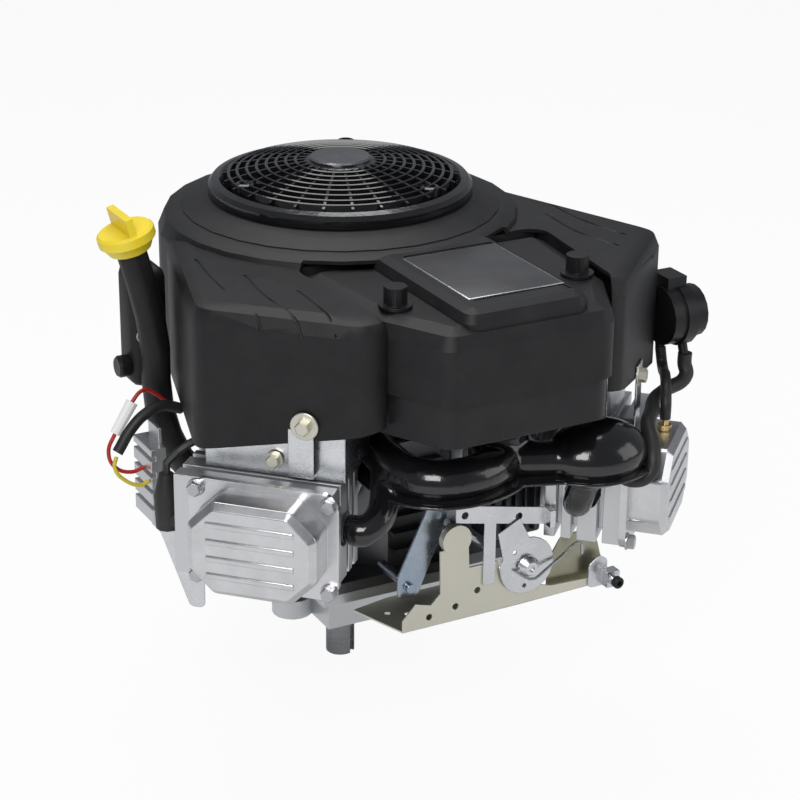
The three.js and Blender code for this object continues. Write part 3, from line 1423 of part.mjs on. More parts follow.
for (const bank of [1, 2]) {
  banks[bank].position.z = BANK_Z[bank];
  const parent = banks[bank];
  addPiece(`cylinder_${bank}`, cylinder(), CAST_ALUMINIUM, parent);
  addPiece(`cylinder_head_${bank}`, head(bank), CAST_ALUMINIUM, parent);
  addPiece(`rocker_cover_${bank}`, rockerCover(bank), CAST_ALUMINIUM, parent);
  addPiece(`piston_${bank}`, piston(), MACHINED, parent);
  addPiece(`connecting_rod_${bank}`, rod(bank), CAST_ALUMINIUM, parent);
  addPiece(`cylinder_baffle_${bank}`, baffle(bank), SHEET_STEEL, parent);
  addPiece(`spark_plug_${bank}`, sparkPlug(bank), SHEET_STEEL, parent);
  addPiece(`spark_lead_${bank}`, sparkLead(bank), RUBBER);
  addPiece(`ignition_coil_${bank}`, inEngine(bank, ignitionCoil()), RUBBER);
}
addPiece('lower_baffle_1', lowerBaffle(1), SHEET_STEEL, banks[1]);

addPiece('blower_housing', blowerHousing(), DARK_PLASTIC);
addPiece('flywheel', flywheel(), CAST_ALUMINIUM);
addPiece('stator', stator(), COPPER);
addPiece('cooling_fan', coolingFan(), DARK_PLASTIC);
addPiece('rotating_screen', rotatingScreen(), GLOSS_PLASTIC);

addPiece('air_cleaner_base', airCleanerBase(), DARK_PLASTIC);
addPiece('air_filter', airFilter(), PAPER);
addPiece('air_cleaner_cover', airCleanerCover(), DARK_PLASTIC);
for (const [name, side] of [['cover_knob_1', -1], ['cover_knob_2', 1]]) {
  const knob = addPiece(name, coverKnob(), DARK_PLASTIC);
  knob.position.set(CLEANER_X + side * KNOB_SPAN / 2, KNOB_Y, 0);
}

addPiece('intake_manifold', intakeManifold(), GLOSS_PLASTIC);
addPiece('throttle_body', throttleBody(), CAST_ALUMINIUM);
addPiece('throttle_shaft', throttleShaft(), ZINC);
addPiece('fuel_pump', fuelPump(), GLOSS_PLASTIC);
addPiece('fuel_hose', fuelHose(), RUBBER);
addPiece('breather_nipple', nipple(), BRASS);
addPiece('breather_hose', breatherHose(), RUBBER);

addPiece('oil_fill_tube', oilFillTube(), DARK_PLASTIC);
addPiece('oil_cap_dipstick', oilCap(), YELLOW);
addPiece('oil_filter', oilFilter(), GLOSS_PLASTIC);

addPiece('starter_motor', starterMotor(), GLOSS_PLASTIC);
addPiece('starter_pinion', starterPinion(), MACHINED);
addPiece('voltage_regulator', voltageRegulator(), CAST_ALUMINIUM);

addPiece('control_bracket', controlBracket(), ZINC);
addPiece('linkage_bracket', linkageBracket(), ZINC);
addPiece('governor_lever', governorLever(), SHEET_STEEL);
addPiece('governor_spring', governorSpring(), SHEET_STEEL);
addPiece('throttle_control', throttleControl(), ZINC);
addPiece('control_link', controlLink(), SHEET_STEEL);
addPiece('quadrant_bracket', quadrantBracket(), ZINC);
addPiece('cable_clamp', cableClamp(), ZINC);

for (const [name, wire] of Object.entries(WIRES)) {
  addPiece(name, wireTube(wire), wire.finish);
}
addPiece('wire_connector', wireConnector(), { color: 0xe4e4e0, roughness: 0.4, metalness: 0 });

export default engine;
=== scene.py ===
"""A small V-twin petrol engine with a vertical shaft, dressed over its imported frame."""
from __future__ import annotations

import logging
import math
from dataclasses import dataclass, field
from enum import Enum

import bmesh
import bpy
from mathutils import Matrix, Vector
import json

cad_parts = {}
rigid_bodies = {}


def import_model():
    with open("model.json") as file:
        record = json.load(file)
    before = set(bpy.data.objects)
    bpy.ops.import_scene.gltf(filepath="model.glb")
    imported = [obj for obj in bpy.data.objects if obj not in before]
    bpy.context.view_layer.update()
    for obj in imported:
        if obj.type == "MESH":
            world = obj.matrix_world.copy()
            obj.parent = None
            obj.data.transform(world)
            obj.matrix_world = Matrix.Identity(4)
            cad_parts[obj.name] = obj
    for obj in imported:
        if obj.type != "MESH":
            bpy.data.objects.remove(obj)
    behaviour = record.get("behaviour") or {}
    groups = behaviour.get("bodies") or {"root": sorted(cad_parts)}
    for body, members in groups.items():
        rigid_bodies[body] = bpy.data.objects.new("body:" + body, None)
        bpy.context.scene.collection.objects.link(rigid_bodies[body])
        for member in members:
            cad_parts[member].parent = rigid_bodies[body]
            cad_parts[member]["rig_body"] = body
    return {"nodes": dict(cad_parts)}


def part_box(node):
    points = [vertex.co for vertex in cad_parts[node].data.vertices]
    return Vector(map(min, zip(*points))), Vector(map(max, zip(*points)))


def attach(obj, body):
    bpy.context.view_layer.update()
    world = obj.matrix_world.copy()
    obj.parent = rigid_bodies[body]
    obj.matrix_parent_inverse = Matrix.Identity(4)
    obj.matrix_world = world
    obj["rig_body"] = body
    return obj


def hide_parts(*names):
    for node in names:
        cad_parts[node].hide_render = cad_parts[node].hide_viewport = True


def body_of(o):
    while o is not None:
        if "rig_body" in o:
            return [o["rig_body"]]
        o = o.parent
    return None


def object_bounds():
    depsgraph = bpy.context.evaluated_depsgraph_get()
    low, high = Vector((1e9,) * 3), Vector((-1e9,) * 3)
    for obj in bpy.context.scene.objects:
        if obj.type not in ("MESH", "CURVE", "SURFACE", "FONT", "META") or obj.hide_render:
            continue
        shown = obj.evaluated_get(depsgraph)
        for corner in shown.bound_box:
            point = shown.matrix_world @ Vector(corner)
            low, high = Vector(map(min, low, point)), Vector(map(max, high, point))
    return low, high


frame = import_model()
CAD_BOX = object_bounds()
MM = 0.001
LOG = logging.getLogger("engine")
BLOCK = "engine_block"
BANK_Z = {1: 157.0, 2: 141.0}
Point = tuple[float, float, float]


class Kind(Enum):
    """How a surface reflects."""

    PLASTIC = 0.0
    METAL = 1.0


class Value:
    """A socket that can be used in arithmetic."""

    def __init__(self, graph: "Graph", socket: bpy.types.NodeSocket) -> None:
        """Keeps the socket and the graph that it belongs to."""
        self.graph = graph
        self.socket = socket

    def _math(self, operation: str, first: object, second: object) -> "Value":
        """Adds one Math node.

        Args:
            operation: The node's operation.
            first: A value or a number.
            second: A value or a number.

        Returns:
            The node's result.
        """
        return self.graph.add("ShaderNodeMath", {"operation": operation}, {0: first, 1: second})

    def __add__(self, other: object) -> "Value":
        """Returns self + other."""
        return self._math("ADD", self, other)

    def __sub__(self, other: object) -> "Value":
        """Returns self - other."""
        return self._math("SUBTRACT", self, other)

    def __rsub__(self, other: object) -> "Value":
        """Returns other - self."""
        return self._math("SUBTRACT", other, self)

    def __mul__(self, other: object) -> "Value":
        """Returns self * other."""
        return self._math("MULTIPLY", self, other)

    __radd__ = __add__
    __rmul__ = __mul__


class Graph:
    """The node tree of one material."""

    def __init__(self, name: str) -> None:
        """Starts an empty material of that name."""
        self.material = bpy.data.materials.new(name)
        self.material.use_nodes = True
        self.tree = self.material.node_tree
        self.tree.nodes.clear()
        self.place = self.add("ShaderNodeTexCoord", {}, {}, "Object")

    def add(self, kind: str, settings: dict, sockets: dict, output: object = 0) -> Value:
        """Adds any node.

        Args:
            kind: The node's type.
            settings: Its settings, set first.
            sockets: Values or links of its inputs, by name or number.
            output: The output that is wanted.

        Returns:
            That output, wrapped.
        """
        node = self.tree.nodes.new(kind)
        for key, value in settings.items():
            setattr(node, key, value)
        for key, value in sockets.items():
            if isinstance(value, Value):
                self.tree.links.new(value.socket, node.inputs[key])
            else:
                node.inputs[key].default_value = value
        return Value(self, node.outputs[output])

    def noise(self, scale: float, detail: float = 3.0, stretch: Point = (1.0, 1.0, 1.0)) -> Value:
        """Returns noise in the object's own metres, with scale in cells per metre."""
        where = self.add("ShaderNodeMapping", {}, {"Vector": self.place, "Scale": stretch}, "Vector")
        sockets = {"Vector": where, "Scale": scale, "Detail": detail, "Roughness": 0.6}
        return self.add("ShaderNodeTexNoise", {}, sockets, 0)

    def blend(self, mask: Value, first: tuple, second: tuple) -> Value:
        """Returns a colour between two, by a mask."""
        sockets = {0: mask, 6: (*first, 1.0), 7: (*second, 1.0)}
        return self.add("ShaderNodeMix", {"data_type": "RGBA"}, sockets, 2)

    def spread(self, value: Value, low: float, high: float) -> Value:
        """Returns value stretched so that low gives 0 and high gives 1, held between them."""
        sockets = {0: value, 1: low, 2: high, 3: 0.0, 4: 1.0}
        return self.add("ShaderNodeMapRange", {"clamp": True}, sockets, 0)

    def surface(self, color: Value, rough: Value, height: Value, lift: float, fixed: dict) -> None:
        """Finishes the material.

        Args:
            color: The base colour.
            rough: The roughness.
            height: The height of the grain.
            lift: The depth of the grain, in metres.
            fixed: Constants of the shader's own sockets.
        """
        bump = self.add("ShaderNodeBump", {}, {"Strength": 0.6, "Distance": lift, "Height": height})
        sockets = {"Base Color": color, "Roughness": rough, "Normal": bump, **fixed}
        shader = self.add("ShaderNodeBsdfPrincipled", {}, sockets)
        self.add_output(shader)

    def add_output(self, shader: Value) -> None:
        """Links a shader to the material's output."""
        node = self.tree.nodes.new("ShaderNodeOutputMaterial")
        self.tree.links.new(shader.socket, node.inputs["Surface"])


@dataclass(frozen=True)
class Finish:
    """A finish with a fine grain, slow mottling and patchy gloss.

    A grain or mottling is in cells per metre, and lift is the grain's depth in metres.
    """

    name: str
    base: tuple
    worn: tuple
    rough: float = 0.5
    vary: float = 0.15
    grain: float = 900.0
    lift: float = 0.0002
    mottle: float = 40.0
    kind: Kind = Kind.PLASTIC
    coat: float = 0.0
    stretch: Point = (1.0, 1.0, 1.0)
    shine: float = 0.5

    def make(self) -> bpy.types.Material:
        """Returns the material, which is made once."""
        old = bpy.data.materials.get(self.name)
        if old is not None:
            return old
        graph = Graph(self.name)
        slow = graph.noise(self.mottle, 4.0)
        fine = graph.noise(self.grain, 2.0, self.stretch)
        specks = graph.spread(graph.noise(self.grain * 0.35, 2.0, self.stretch), 0.58, 0.75)
        mask = graph.spread(slow, 0.35, 0.7) * 0.7 + specks * 0.3
        color = graph.blend(mask, self.base, self.worn)
        rough = (slow - 0.5) * self.vary + (fine - 0.5) * (self.vary * 0.5) + self.rough
        fixed = {"Metallic": self.kind.value, "Coat Weight": self.coat,
                 "Specular IOR Level": self.shine}
        graph.surface(color, rough, fine, self.lift, fixed)
        return graph.material


GRAINED = Finish("cowl_plastic", (0.008, 0.008, 0.009), (0.016, 0.016, 0.017), 0.46, 0.1, 1500, 0.00035, shine=0.32)
MOULDED = Finish("moulded_plastic", (0.007, 0.007, 0.008), (0.015, 0.015, 0.016), 0.36, 0.12, 1100, 0.0002, shine=0.35)
GLOSSY = Finish("gloss_plastic", (0.006, 0.006, 0.007), (0.012, 0.012, 0.013), 0.16, 0.1, 220, 0.0003, coat=0.4)
CAST = Finish(
    "cast_aluminium", (0.46, 0.46, 0.47), (0.60, 0.60, 0.61), 0.40, 0.2, 800, 0.00014, kind=Kind.METAL,
)
POLISHED = Finish(
    "polished_aluminium", (0.60, 0.60, 0.61), (0.74, 0.74, 0.75), 0.30, 0.16, 420, 0.00005, kind=Kind.METAL,
)
DARK_CAST = Finish(
    "dark_casting", (0.07, 0.07, 0.075), (0.14, 0.14, 0.145), 0.55, 0.2, 700, 0.0006, kind=Kind.METAL,
)
SHEET = Finish(
    "zinc_sheet", (0.60, 0.61, 0.63), (0.78, 0.79, 0.80), 0.26, 0.25, 260, 0.00003, 25, Kind.METAL,
    stretch=(1.0, 1.0, 5.0),
)
YELLOW_ZINC = Finish("yellow_zinc", (0.60, 0.56, 0.44), (0.78, 0.78, 0.74), 0.26, 0.2, 300, 0.00003, 30, Kind.METAL)
HUB = Finish("hub_plate", (0.26, 0.26, 0.27), (0.36, 0.36, 0.37), 0.26, 0.1, 300, 0.00001, 12, Kind.METAL)
OLIVE = Finish("olive_zinc", (0.30, 0.29, 0.21), (0.44, 0.43, 0.34), 0.34, 0.2, 300, 0.00003, 30, Kind.METAL)
STEEL = Finish(
    "turned_steel", (0.42, 0.42, 0.43), (0.58, 0.58, 0.60), 0.28, 0.15, 500, 0.0001, 30, Kind.METAL,
    stretch=(0.2, 0.2, 6.0),
)
BLUE_STEEL = Finish("lever_steel", (0.34, 0.40, 0.48), (0.52, 0.56, 0.60), 0.28, 0.2, 400, 0.00003, 30, Kind.METAL)
RUBBER = Finish("hose_rubber", (0.012, 0.012, 0.012), (0.025, 0.025, 0.026), 0.5, 0.15, 1400, 0.0002)
YELLOW = Finish("cap_yellow", (0.86, 0.66, 0.03), (0.90, 0.72, 0.05), 0.34, 0.1, 700, 0.0002)
PAPER = Finish("filter_paper", (0.62, 0.50, 0.30), (0.72, 0.60, 0.40), 0.85, 0.1, 2000, 0.0003)
COPPER = Finish("copper_wire", (0.70, 0.28, 0.12), (0.82, 0.40, 0.2), 0.3, 0.1, 1800, 0.0004, kind=Kind.METAL)
BRASS = Finish("brass", (0.62, 0.46, 0.20), (0.74, 0.58, 0.32), 0.28, 0.15, 500, 0.0001, kind=Kind.METAL)
RED = Finish("red_cover", (0.42, 0.015, 0.012), (0.5, 0.03, 0.02), 0.36, 0.1, 900, 0.0001)
YELLOW_WIRE = Finish("yellow_cover", (0.62, 0.50, 0.03), (0.7, 0.58, 0.06), 0.4, 0.1, 900, 0.0001)
CLEAR = Finish("clear_sleeve", (0.72, 0.72, 0.70), (0.82, 0.82, 0.80), 0.24, 0.1, 900, 0.0001)
GRAPHITE = Finish("name_plate_field", (0.045, 0.045, 0.048), (0.06, 0.06, 0.064), 0.3, 0.1, 900, 0.0001)


def bank_point(bank: int, out: float, front: float, up: float) -> Point:
    """Returns a point of a cylinder bank's own axes in engine millimetres.

    Args:
        bank: 1 on the left, 2 on the right.
        out: Distance out along the bore.
        front: Distance toward the front, square to the bore.
        up: Height above the bank's own axis.
    """
    side = -1.0 if bank == 1 else 1.0
    return (side * (out - front) / math.sqrt(2), -(out + front) / math.sqrt(2), up + BANK_Z[bank])


class Shape:
    """A mesh being built, in millimetres."""

    def __init__(self) -> None:
        """Starts empty."""
        self.mesh = bmesh.new()

    def block(self, low: Point, high: Point, round_by: float, turn: Matrix | None = None) -> "Shape":
        """Adds a box with rounded edges.

        Args:
            low: Its lowest corner.
            high: Its highest corner.
            round_by: The width of the rounding.
            turn: A last transform of the box.

        Returns:
            The shape itself.
        """
        made = bmesh.ops.create_cube(self.mesh, size=1.0)["verts"]
        low_v, high_v = Vector(low), Vector(high)
        bmesh.ops.scale(self.mesh, vec=high_v - low_v, verts=made)
        bmesh.ops.translate(self.mesh, vec=(low_v + high_v) / 2, verts=made)
        if round_by > 0:
            edges = list({edge for vert in made for edge in vert.link_edges})
            made = bmesh.ops.bevel(
                self.mesh, geom=edges, offset=round_by, segments=3, profile=0.5, affect="EDGES", material=-1,
            )["verts"]
        if turn is not None:
            verts = list({v for v in made} | {v for vert in made for e in vert.link_edges for v in e.verts})
            bmesh.ops.transform(self.mesh, matrix=turn, verts=verts)
        return self

    def lathe(self, profile: list[tuple[float, float]], base: Point, axis: Point, steps: int = 48) -> "Shape":
        """Adds a turned piece.

        Args:
            profile: Pairs of radius and height along the axis.
            base: The point at height 0.
            axis: The direction of the axis.
            steps: How many sides it has.

        Returns:
            The shape itself.
        """
        local = bmesh.new()
        verts = [local.verts.new((radius, 0.0, height)) for radius, height in profile]
        for first, second in zip(verts, verts[1:]):
            local.edges.new((first, second))
        bmesh.ops.spin(
            local, geom=verts + list(local.edges), cent=(0, 0, 0), axis=(0, 0, 1), angle=math.tau,
            steps=steps, use_merge=True,
        )
        bmesh.ops.remove_doubles(local, verts=local.verts, dist=0.001)
        bmesh.ops.recalc_face_normals(local, faces=local.faces)
        turn = Vector((0, 0, 1)).rotation_difference(Vector(axis)).to_matrix().to_4x4()
        bmesh.ops.transform(local, matrix=Matrix.Translation(base) @ turn, verts=local.verts)
        self.take(local)
        return self

    def take(self, other: bmesh.types.BMesh) -> None:
        """Adds another mesh to this one and frees it."""
        data = bpy.data.meshes.new("take")
        other.to_mesh(data)
        other.free()
        self.mesh.from_mesh(data)
        bpy.data.meshes.remove(data)

    def bolt(self, head: Point, axis: Point, size: float = 6.0, washer: float = 9.0) -> "Shape":
        """Adds a hexagon head on a round washer.

        Args:
            head: The middle of the washer's seat.
            axis: The way the head faces.
            size: Half the distance over the corners.
            washer: The washer's radius.

        Returns:
            The shape itself.
        """
        self.lathe([(0, 0), (washer, 0), (washer, 1.2), (washer - 0.5, 1.6), (0, 1.6)], head, axis, 28)
        tall = size * 0.8
        profile = [(0, 1.5), (size, 1.5), (size, 1.5 + tall), (size * 0.86, 2.3 + tall), (0, 2.3 + tall)]
        return self.lathe(profile, head, axis, 6)

    def finish(self, name: str, finish: Finish, body: str, angle: float = 35.0) -> bpy.types.Object:
        """Makes the object, in metres.

        Args:
            name: The piece's name.
            finish: Its finish.
            body: The body that it rides on.
            angle: Edges sharper than this, in degrees, stay crisp.

        Returns:
            The object.
        """
        bmesh.ops.scale(self.mesh, vec=(MM, MM, MM), verts=self.mesh.verts)
        data = bpy.data.meshes.new(name)
        self.mesh.to_mesh(data)
        self.mesh.free()
        return place(name, data, finish, body, angle)


def place(name: str, data: bpy.types.Mesh, finish: Finish, body: str, angle: float) -> bpy.types.Object:
    """Links a mesh as a piece that rides on a body.

    Args:
        name: The piece's name.
        data: Its mesh, in metres.
        finish: Its finish.
        body: The body that it rides on.
        angle: Edges sharper than this, in degrees, stay crisp.

    Returns:
        The object.
    """
    data.shade_smooth()
    data.set_sharp_from_angle(angle=math.radians(angle))
    data.materials.clear()
    data.materials.append(finish.make())
    piece = bpy.data.objects.new(name, data)
    bpy.context.scene.collection.objects.link(piece)
    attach(piece, body)
    LOG.info("%s on %s", name, body)
    return piece


def body_of_node(node: str) -> str:
    """Returns the name of the body that a node belongs to."""
    return body_of(frame["nodes"][node])


def level_normals(piece: bpy.types.Object) -> None:
    """Makes the shading of large flat faces even."""
    level = piece.modifiers.new("level", "WEIGHTED_NORMAL")
    level.keep_sharp = True


def settle(piece: bpy.types.Object) -> None:
    """Applies the modifiers of a piece to its mesh, and keeps its finish."""
    graph = bpy.context.evaluated_depsgraph_get()
    materials = list(piece.data.materials)
    data = bpy.data.meshes.new_from_object(piece.evaluated_get(graph), depsgraph=graph)
    piece.modifiers.clear()
    data.materials.clear()
    for material in materials:
        data.materials.append(material)
    piece.data = data


def fused(name: str, meshes: list[bpy.types.Mesh], voxel: float, finish: Finish) -> bpy.types.Object:
    """Melts overlapping closed meshes into one smooth moulded piece.

    Args:
        name: The piece's name.
        meshes: The meshes, in metres.
        voxel: The cell of the melt, in millimetres.
        finish: Its finish.

    Returns:
        The piece.
    """
    joined = bmesh.new()
    for mesh in meshes:
        joined.from_mesh(mesh)
    data = bpy.data.meshes.new(name)
    joined.to_mesh(data)
    joined.free()
    piece = place(name, data, finish, BLOCK, 180.0)
    melt = piece.modifiers.new("melt", "REMESH")
    melt.mode = "VOXEL"
    melt.voxel_size = voxel * MM
    melt.use_smooth_shade = True
    ease = piece.modifiers.new("ease", "SMOOTH")
    ease.factor = 0.5
    ease.iterations = 8
    settle(piece)
    return piece


def ball(middle: Point, radii: Point) -> bpy.types.Mesh:
    """Returns a closed ellipsoid, in metres.

    Args:
        middle: Its middle, in millimetres.
        radii: Its three radii, in millimetres.
    """
    shape = bmesh.new()
    bmesh.ops.create_uvsphere(shape, u_segments=40, v_segments=24, radius=1.0)
    bmesh.ops.scale(shape, vec=Vector(radii) * MM, verts=shape.verts)
    bmesh.ops.translate(shape, vec=Vector(middle) * MM, verts=shape.verts)
    data = bpy.data.meshes.new("ball")
    shape.to_mesh(data)
    shape.free()
    return data


def softened(node: str, finish: Finish, edge: float, angle: float = 32.0, rounds: int = 0) -> bpy.types.Object:
    """Replaces a node with a merged copy that has eased edges.

    Args:
        node: The node's name.
        finish: Its finish.
        edge: The width of the eased edges, in millimetres.
        angle: Edges sharper than this, in degrees, are eased.
        rounds: Levels of subdivision, for tubes.

    Returns:
        The copy.
    """
    source = bmesh.new()
    source.from_mesh(frame["nodes"][node].data)
    bmesh.ops.remove_doubles(source, verts=source.verts, dist=0.00002)
    bmesh.ops.dissolve_limit(source, angle_limit=math.radians(2.0), verts=source.verts, edges=source.edges)
    data = bpy.data.meshes.new(node + "_eased")
    source.to_mesh(data)
    source.free()
    body = body_of_node(node)
    piece = place(node + "_eased", data, finish, body if isinstance(body, str) else body[0], angle)
    if edge > 0:
        ease = piece.modifiers.new("ease", "BEVEL")
        ease.width = edge * MM
        ease.segments = 4 if edge > 2.5 else 2
        ease.limit_method = "ANGLE"
        ease.angle_limit = math.radians(angle)
    if rounds:
        subdivide = piece.modifiers.new("round", "SUBSURF")
        subdivide.levels = rounds
        subdivide.render_levels = rounds
    level_normals(piece)
    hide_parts(node)
    return piece


def tube_mesh(name: str, points: list[Point], radius: float) -> bpy.types.Mesh:
    """Returns the closed mesh of a smooth tube.

    Args:
        name: The mesh's name.
        points: Its route, in millimetres.
        radius: Its radius, in millimetres.
    """
    curve = bpy.data.curves.new(name, "CURVE")
    curve.dimensions = "3D"
    spline = curve.splines.new("BEZIER")
    spline.bezier_points.add(len(points) - 1)
    for knot, point in zip(spline.bezier_points, points):
        knot.co = Vector(point) * MM
        knot.handle_left_type = knot.handle_right_type = "AUTO"
    curve.bevel_depth = radius * MM
    curve.bevel_resolution = 5
    curve.resolution_u = 10
    curve.use_fill_caps = True
    helper = bpy.data.objects.new(name + "_helper", curve)
    bpy.context.scene.collection.objects.link(helper)
    data = bpy.data.meshes.new_from_object(helper.evaluated_get(bpy.context.evaluated_depsgraph_get()))
    bpy.data.objects.remove(helper)
    made = bmesh.new()
    made.from_mesh(data)
    bmesh.ops.remove_doubles(made, verts=made.verts, dist=0.00001)
    bmesh.ops.recalc_face_normals(made, faces=made.faces)
    made.to_mesh(data)
    made.free()
    return data


def loose_tube(name: str, points: list[Point], radius: float) -> bpy.types.Object:
    """Makes a bare smooth tube that isn't a piece yet.

    Args:
        name: The object's name.
        points: Its route, in millimetres.
        radius: Its radius, in millimetres.

    Returns:
        The object.
    """
    data = tube_mesh(name, points, radius)
    piece = bpy.data.objects.new(name, data)
    bpy.context.scene.collection.objects.link(piece)
    return piece


def tube(name: str, points: list[Point], radius: float, finish: Finish, *nodes: str) -> bpy.types.Object:
    """Replaces nodes with a smooth tube through points.

    Args:
        name: The piece's name.
        points: Its route, in millimetres.
        radius: Its radius, in millimetres.
        finish: Its finish.
        nodes: The nodes that it stands for.

    Returns:
        The tube.
    """
    data = tube_mesh(name, points, radius)
    piece = place(name, data, finish, BLOCK, 50.0)
    if nodes:
        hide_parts(*nodes)
    return piece


@dataclass
class Castings:
    """The crankcase, cylinders, heads and the metal below the cowl."""

    eased: dict = field(default_factory=lambda: {
        "crankcase": (DARK_CAST, 1.0), "oil_sump": (CAST, 1.5), "oil_seal": (RUBBER, 0.3),
        "oil_drain_plug": (STEEL, 0.5), "cylinder_1": (CAST, 0.5), "cylinder_2": (CAST, 0.5),
        "cylinder_head_1": (CAST, 0.8), "cylinder_head_2": (CAST, 0.8), "crankshaft": (STEEL, 0.6),
        "cylinder_baffle_1": (SHEET, 0.5), "cylinder_baffle_2": (SHEET, 0.5), "lower_baffle_1": (SHEET, 0.5),
        "oil_filter": (GRAINED, 1.5), "starter_motor": (GRAINED, 1.0), "starter_pinion": (STEEL, 0.3),
        "spark_plug_1": (STEEL, 0.2), "spark_plug_2": (STEEL, 0.2), "voltage_regulator": (CAST, 0.5),
    })

    def extras(self) -> None:
        """Adds the side shroud behind the filler tube and the dark casting behind the controls."""
        side = Shape().block((-198, -26, 216), (-166, 8, 316), 9.0)
        side.finish("side_shroud", GRAINED, BLOCK)
        knob = Shape().lathe(
            [(0, 0), (8.5, 0), (9, 1), (9, 8), (7.5, 10), (0, 10)], (-198, -14, 234), (-1, 0, 0), 28,
        )
        knob.finish("side_shroud_knob", MOULDED, BLOCK)
        Shape().bolt((-189, -26, 262), (0, -1, 0), 4.5, 6.0).finish("side_shroud_bolt", STEEL, BLOCK)
        casting = Shape().block((46, -176, 92), (96, -146, 170), 3.0)
        for step in range(5):
            casting.block((50 + 9 * step, -181, 96), (53 + 9 * step, -175, 166), 1.0)
        casting.finish("intake_side_casting", DARK_CAST, BLOCK)

    def build(self) -> None:
        """Makes every casting."""
        self.extras()
        for node, (finish, edge) in self.eased.items():
            softened(node, finish, edge)


@dataclass
class RockerCovers:
    """The two cast covers, with ribs, bolts and a washer on each head."""

    face: float = 298.0
    middle: float = 27.0
    half_wide: float = 47.0
    rib_heights: tuple = (-21.0, -7.0, 7.0, 21.0)
    bolt_s: tuple = (-26.0, 80.0)
    bolt_z: float = 36.0

    def bar(self, shape: Shape, bank: int, z: float) -> None:
        """Adds one rib across a cover's face.

        Args:
            shape: The shape that takes it.
            bank: The bank.
            z: The rib's height above the bore.
        """
        a = Vector(bank_point(bank, self.face - 0.5, self.middle - self.half_wide + 12, z))
        b = Vector(bank_point(bank, self.face - 0.5, self.middle + self.half_wide - 12, z))
        along = (b - a).normalized()
        turn = Matrix.Translation((a + b) / 2) @ Vector((1, 0, 0)).rotation_difference(along).to_matrix().to_4x4()
        half = (b - a).length / 2
        shape.block((-half, -1.6, -2.6), (half, 1.6, 2.6), 1.2, turn)

    def build(self) -> None:
        """Makes both covers and their bolts."""
        for bank in (1, 2):
            softened(f"rocker_cover_{bank}", POLISHED, 5.0, 22.0)
            ribs = Shape()
            for z in self.rib_heights:
                self.bar(ribs, bank, z)
            ribs.finish(f"rocker_cover_ribs_{bank}", POLISHED, BLOCK)
            bolts = Shape()
            axis = Vector(bank_point(bank, 1, 0, 0)) - Vector(bank_point(bank, 0, 0, 0))
            for s in self.bolt_s:
                for z in (-self.bolt_z, self.bolt_z):
                    bolts.bolt(bank_point(bank, 268, s, z), tuple(axis), 6.0, 7.0)
            bolts.finish(f"rocker_cover_bolts_{bank}", STEEL, BLOCK)


@dataclass
class Screen:
    """The rotating debris screen: a rim, a domed grid and a steel hub."""

    radius: float = 109.0
    bottom: float = 350.0
    top: float = 379.0
    hub: float = 27.0
    rings: tuple = (37.0, 45.0, 53.0, 61.0, 69.0, 77.0, 85.0, 92.0)
    vanes: int = 26

    def dome(self, radius: float) -> float:
        """Returns the height of the grid's crown at a radius."""
        return self.top - 1.0 - 17.0 * (radius / self.radius) ** 2

    def build(self) -> None:
        """Makes the screen on the rotor."""
        edge, low = self.radius, self.bottom
        grid = Shape()
        grid.lathe(
            [(edge - 13, low), (edge - 0.6, low), (edge, low + 1), (edge, low + 7), (edge - 3, low + 10.5),
             (edge - 9, low + 12), (edge - 13, low + 9), (edge - 13, low)], (0, 0, 0), (0, 0, 1), 96,
        )
        for ring in self.rings:
            crown = self.dome(ring)
            wall = [(ring - 1.2, crown - 7), (ring + 1.2, crown - 7), (ring + 1.2, crown - 0.5), (ring, crown)]
            grid.lathe([*wall, (ring - 1.2, crown - 0.5), (ring - 1.2, crown - 7)], (0, 0, 0), (0, 0, 1), 72)
        for count in range(self.vanes):
            turn = Matrix.Rotation(math.tau * count / self.vanes, 4, "Z")
            for start, end in zip((self.hub, *self.rings), (*self.rings, edge - 12)):
                a, b = self.dome(start) - 1, self.dome(end) - 1
                slope = Matrix.Translation((start, 0, a)) @ Matrix.Rotation(math.atan2(a - b, end - start), 4, "Y")
                grid.block((0, -1.1, -6), (math.hypot(end - start, a - b), 1.1, 0), 0, turn @ slope)
        hub, crown = self.hub, self.top - 4
        grid.lathe([(0, crown - 8), (hub + 3, crown - 8), (hub + 3, crown), (hub, crown + 1), (0, crown + 1)],
                   (0, 0, 0), (0, 0, 1), 64)
        for angle in (math.pi / 3, math.pi, -math.pi / 3):
            at = (86 * math.cos(angle), 86 * math.sin(angle), 0)
            top = self.dome(86) - 1.0
            post = [(0, low), (8, low), (8, top), (6.5, top + 1), (5, top + 1), (4.5, top - 2), (0, top - 2)]
            grid.lathe(post, at, (0, 0, 1), 24)
        piece = grid.finish("screen_grid", GLOSSY, "rotor")
        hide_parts("rotating_screen")
        plate = Shape()
        profile = [(0, crown + 1), (hub - 2, crown + 1), (hub - 1.5, crown + 2.6), (hub - 3, crown + 4), (0, crown + 4)]
        plate.lathe(profile, (0, 0, 0), (0, 0, 1), 64)
        plate.finish("screen_hub_plate", HUB, "rotor")


